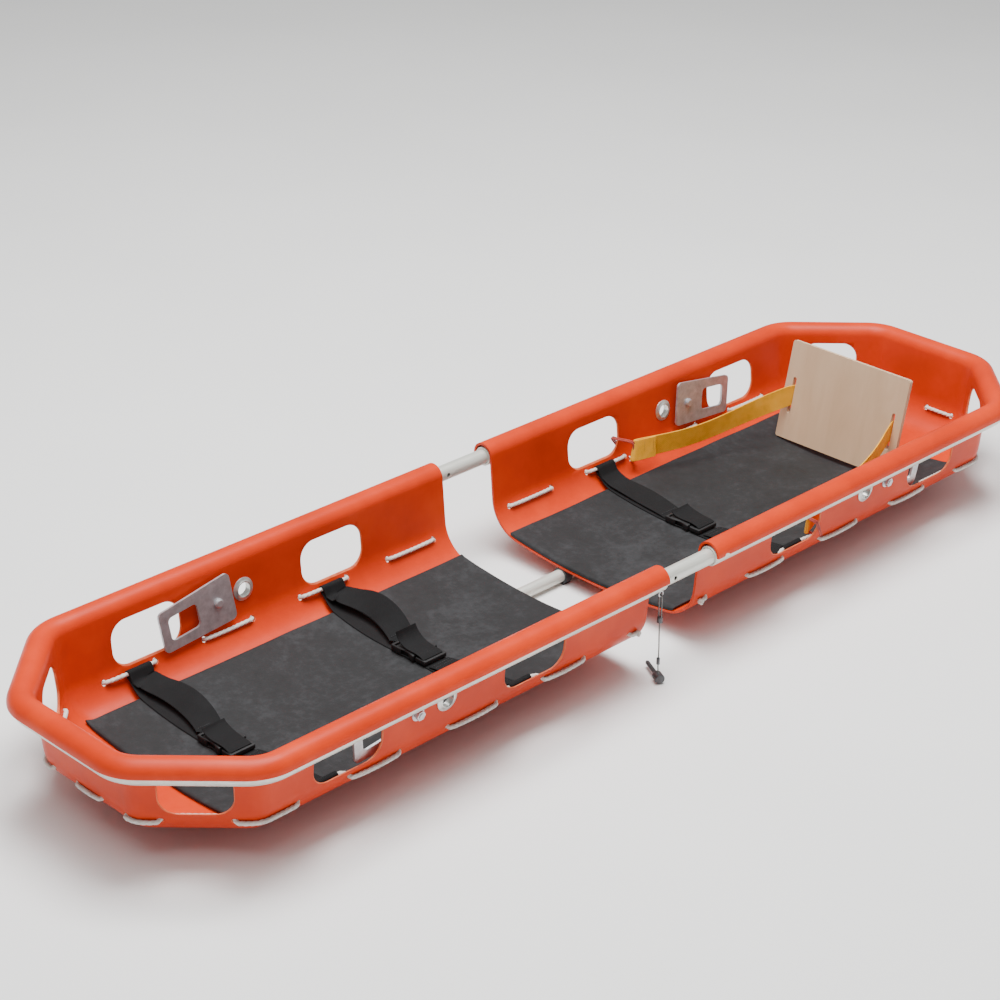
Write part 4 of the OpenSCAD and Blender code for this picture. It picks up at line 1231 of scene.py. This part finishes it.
def loop_inner():
    """Where the cord loop stands furthest into the basket, on the far side."""
    return Vector((LOOP_PLACE, wall_y(SHELL_WALL / 2, LOOP_Z) - LOOP_RADIUS, LOOP_Z))


def footrest_strap_line():
    """One side's webbing from its sewn end round the cord loop to the back of the board, far side."""
    ring = loop_inner() + Vector((6 * MM, -2 * MM, 4 * MM))
    slot_front = board_at(-1 * MM, SLOT_Y, SLOT_MIDDLE)
    slot_back = board_at(BOARD_THICKNESS + 2.0 * MM, SLOT_Y - 3 * MM, SLOT_MIDDLE)
    doubled = [ring + Vector((46, -13.5, 0.5)) * MM, ring + Vector((30, -9.0, 0.3)) * MM,
               ring + Vector((14, -4.6, 0)) * MM, ring + Vector((3, -1.2, 0)) * MM]
    fold = [ring + Vector((-3.5, 1.5, 0)) * MM, ring + Vector((-4.5, 5, 0)) * MM,
            ring + Vector((-1, 7.5, 0)) * MM]
    run = []
    begin = ring + Vector((8, 5.5, 0)) * MM
    for t in spread(0, 1, 14):
        p = begin.lerp(slot_front, t)
        sag = 13 * MM * math.sin(math.pi * t) ** 1.2
        bow = -6 * MM * math.sin(TAU * t)
        run.append(p + Vector((0, bow, -sag)))
    return doubled + fold + run + [slot_back]


def make_footrest_strap():
    """One length of yellow webbing: far loop, far slot, the back of the board, near slot, near loop."""
    far = even(rounded(footrest_strap_line(), 2), 3 * MM)
    back = BOARD_THICKNESS + 0.4 * MM + FOOT_WEB_THICKNESS / 2
    across = [board_at(back, y, SLOT_MIDDLE) for y in spread(SLOT_Y - 8 * MM, -(SLOT_Y - 8 * MM), 24)]
    near = [MIRROR_Y @ p for p in reversed(far)]
    path = [on_half("right", p) for p in rounded(far + across + near, 1)]
    path = even(path, 3 * MM)
    along = distances(path)
    total = along[-1]
    tilt = []
    for s in along:
        t = min(s, total - s)
        sign = 1 if s < total / 2 else -1
        tilt.append(sign * 0.16 * math.sin(min(1.0, t / 0.42) * math.pi))
    web = face_ribbon("footrest_web", path, (0.2, 0, 1), FOOT_WEB_WIDTH, FOOT_WEB_THICKNESS, YELLOW_WEB, tilt)
    seams = []
    for side in (1, -1):
        for reach in (20, 40):
            base = loop_inner() + Vector((6 + reach, -2 - 0.29 * reach - 1.6, 4)) * MM
            run = [base + Vector((0, 0, z)) * MM for z in (-18, 18)]
            run = [Vector((p.x, side * p.y, p.z)) for p in run]
            run = [on_half("right", p) for p in run]
            seams.append(stitches(f"foot_seam_{side}_{reach}", run, THREAD_LIGHT))
    piece = join("footrest_webbing", [web] + seams)
    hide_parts("footrest_far_strap", "footrest_near_strap", "footrest_back_strap")
    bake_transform(piece)


def make_footrest_loops():
    """Two turns of cord through the hand hole and its own hole, holding the folded end of the webbing."""
    parts = []
    upper, lower = loop_leg_holes()
    normal = Vector((0, -math.cos(WALL_TILT), math.sin(WALL_TILT)))
    for side in (1, -1):
        for turn in (-1, 1):
            offset = Vector((1, 0, 0.35)) * (turn * 1.9 * MM)
            high = Vector((upper[0], wall_y(SHELL_WALL / 2, upper[1]), upper[1]))
            y_low = CORNER_Y + math.sqrt((CORNER_RADIUS - SHELL_WALL / 2) ** 2 - (CORNER_Z - lower[1]) ** 2)
            low = Vector((lower[0], y_low, lower[1]))
            inner = loop_inner() + Vector((6, 1, 4)) * MM
            out = -normal * 4.8 * MM
            turned = [inner + Vector(p) * MM for p in ((2, 0, -19), (0, 0, -8), (0, 0, 8), (-2, 0, 19))]
            route = [low + out, low + normal * 4 * MM, low + normal * 14 * MM, *turned,
                     high + normal * 12 * MM, high + normal * 4 * MM, high + out]
            route = [p + offset for p in route]
            centre = [route[-1].lerp(route[0], t) + out * 0.2 * math.sin(math.pi * t)
                      for t in (0.25, 0.5, 0.75)]
            ring = route + centre
            for _ in range(3):
                ring = [q for a, b in zip(ring, ring[1:] + ring[:1])
                        for q in (a.lerp(b, 0.25), a.lerp(b, 0.75))]
            ring = [Vector(on_half("right", (p.x, side * p.y, p.z))) for p in ring]
            parts.append(tube(f"loop_{side}_{turn}", ring, 1.7 * MM, CORD, 12, closed=True))
    piece = join("footrest_cord_loops", parts)
    finish_piece(piece, "right_half", "loop_cord", "footrest_loops")


# ---------------------------------------------------------------- grommets

def make_grommets(half):
    """A rolled eyelet through the wall on each side."""
    profile = [(13.0, -6.0), (14.0, -6.7), (15.2, -6.6), (16.2, -5.6), (17.5, -4.6), (20.8, -4.2),
               (21.8, -3.6), (22, -2.9), (21.4, -2.3), (15.9, -2.3), (15.9, 2.3), (21.4, 2.3), (22, 2.9),
               (21.8, 3.6), (20.8, 4.2), (17.5, 4.6), (16.2, 5.6), (15.2, 6.6), (14.0, 6.7), (13.0, 6.0)]
    parts = []
    flip = Matrix.Identity(4) if half == "right" else Matrix.Diagonal((-1, 1, 1, 1))
    for side in (Matrix.Identity(4), MIRROR_Y):
        spot = flip @ Matrix.Translation((HALF_GAP, 0, 0)) @ side @ wall_frame(GROMMET_PLACE, FEATURE_Z)
        parts.append(lathe("eyelet", [(r * MM, h * MM) for r, h in profile], spot, BRIGHT_STEEL, 56))
    piece = join(f"{half}_grommets_rolled", parts)
    return finish_piece(piece, f"{half}_half", "plate_steel", f"{half}_grommets")


# ---------------------------------------------------------------- CAD nodes that stay

KEPT = {
    STEEL: ["left_far_plate", "left_near_plate", "right_far_plate", "right_near_plate",
            "left_plate_bolts", "right_plate_bolts", "left_plate_nuts", "right_plate_nuts",
            "left_plate_spacers", "right_plate_spacers", "left_runner_saddles", "right_runner_saddles",
            "left_saddle_rivets", "right_saddle_rivets", "lanyard_eye"],
    TUBE: ["rim_spigots", "keel_spigots", "left_runners", "right_runners"],
    RUBBER: ["left_runner_feet", "right_runner_feet"],
    BOARD: ["footrest_board"],
    WIRE: ["lanyard_loop"],
    DARK_STEEL: ["lanyard_upper_crimp", "lanyard_lower_crimp"],
}
EDGE_WIDTHS = {"footrest_board": 1.4 * MM, "left_runner_feet": 1.2 * MM, "right_runner_feet": 1.2 * MM,
               "lanyard_lower_crimp": 0.3 * MM, "lanyard_upper_crimp": 0.8 * MM}
NO_BEVEL = ("lanyard_loop", "lanyard_eye")


def dress_kept_nodes():
    for material, names in KEPT.items():
        for name in names:
            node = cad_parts[name]
            node.data.materials.clear()
            node.data.materials.append(material)
            if name in NO_BEVEL:
                continue
            rounder = node.modifiers.new("edges", "BEVEL")
            rounder.width = EDGE_WIDTHS.get(name, 0.5 * MM)
            rounder.segments = 2
            rounder.limit_method, rounder.angle_limit = "ANGLE", math.radians(40)
            rounder.harden_normals = True


# ---------------------------------------------------------------- studio


def area_light(name, place, target, size, power, color=(1, 1, 1)):
    data = bpy.data.lights.new(name, "AREA")
    data.shape, data.size, data.energy, data.color = "SQUARE", size, power, color
    lamp = bpy.data.objects.new(name, data)
    lamp.location = place
    lamp.rotation_euler = (Vector(target) - Vector(place)).to_track_quat("-Z", "Y").to_euler()
    bpy.context.scene.collection.objects.link(lamp)


def make_studio():
    half = 30.0
    points = [(-half, -half, 0), (half, -half, 0), (half, half, 0), (-half, half, 0)]
    corners = [(x, y, -0.5 * MM) for x, y, _ in points]
    ground = make_object("studio_ground", corners, [(0, 1, 2, 3)], floor_look())
    world = bpy.data.worlds.new("studio")
    bpy.context.scene.world = world
    world.use_nodes = True
    background = world.node_tree.nodes["Background"]
    background.inputs["Color"].default_value = (1.0, 1.0, 1.0, 1)
    background.inputs["Strength"].default_value = 0.32
    area_light("key", (-2.2, -1.0, 4.4), (0, 0, 0.1), 2.4, 90)
    area_light("top", (0.2, 0.1, 4.7), (0, 0, 0.1), 3.0, 470)
    area_light("side", (3.6, -2.2, 2.2), (0.2, 0, 0.1), 2.4, 12)


# ---------------------------------------------------------------- everything

for half_name, straps in (("left", (CHEST_PLACE, HEAD_PLACE)), ("right", (CHEST_PLACE,))):
    make_shell(half_name)
    make_rim_tube(half_name)
    make_rope(half_name, straps)
    make_mat(half_name, 1 if half_name == "left" else 2)
    make_grommets(half_name)
make_body_strap("head", "left", HEAD_PLACE)
make_body_strap("chest", "left", CHEST_PLACE)
make_body_strap("leg", "right", CHEST_PLACE)
make_footrest_strap()
make_footrest_loops()
dress_kept_nodes()
make_studio()
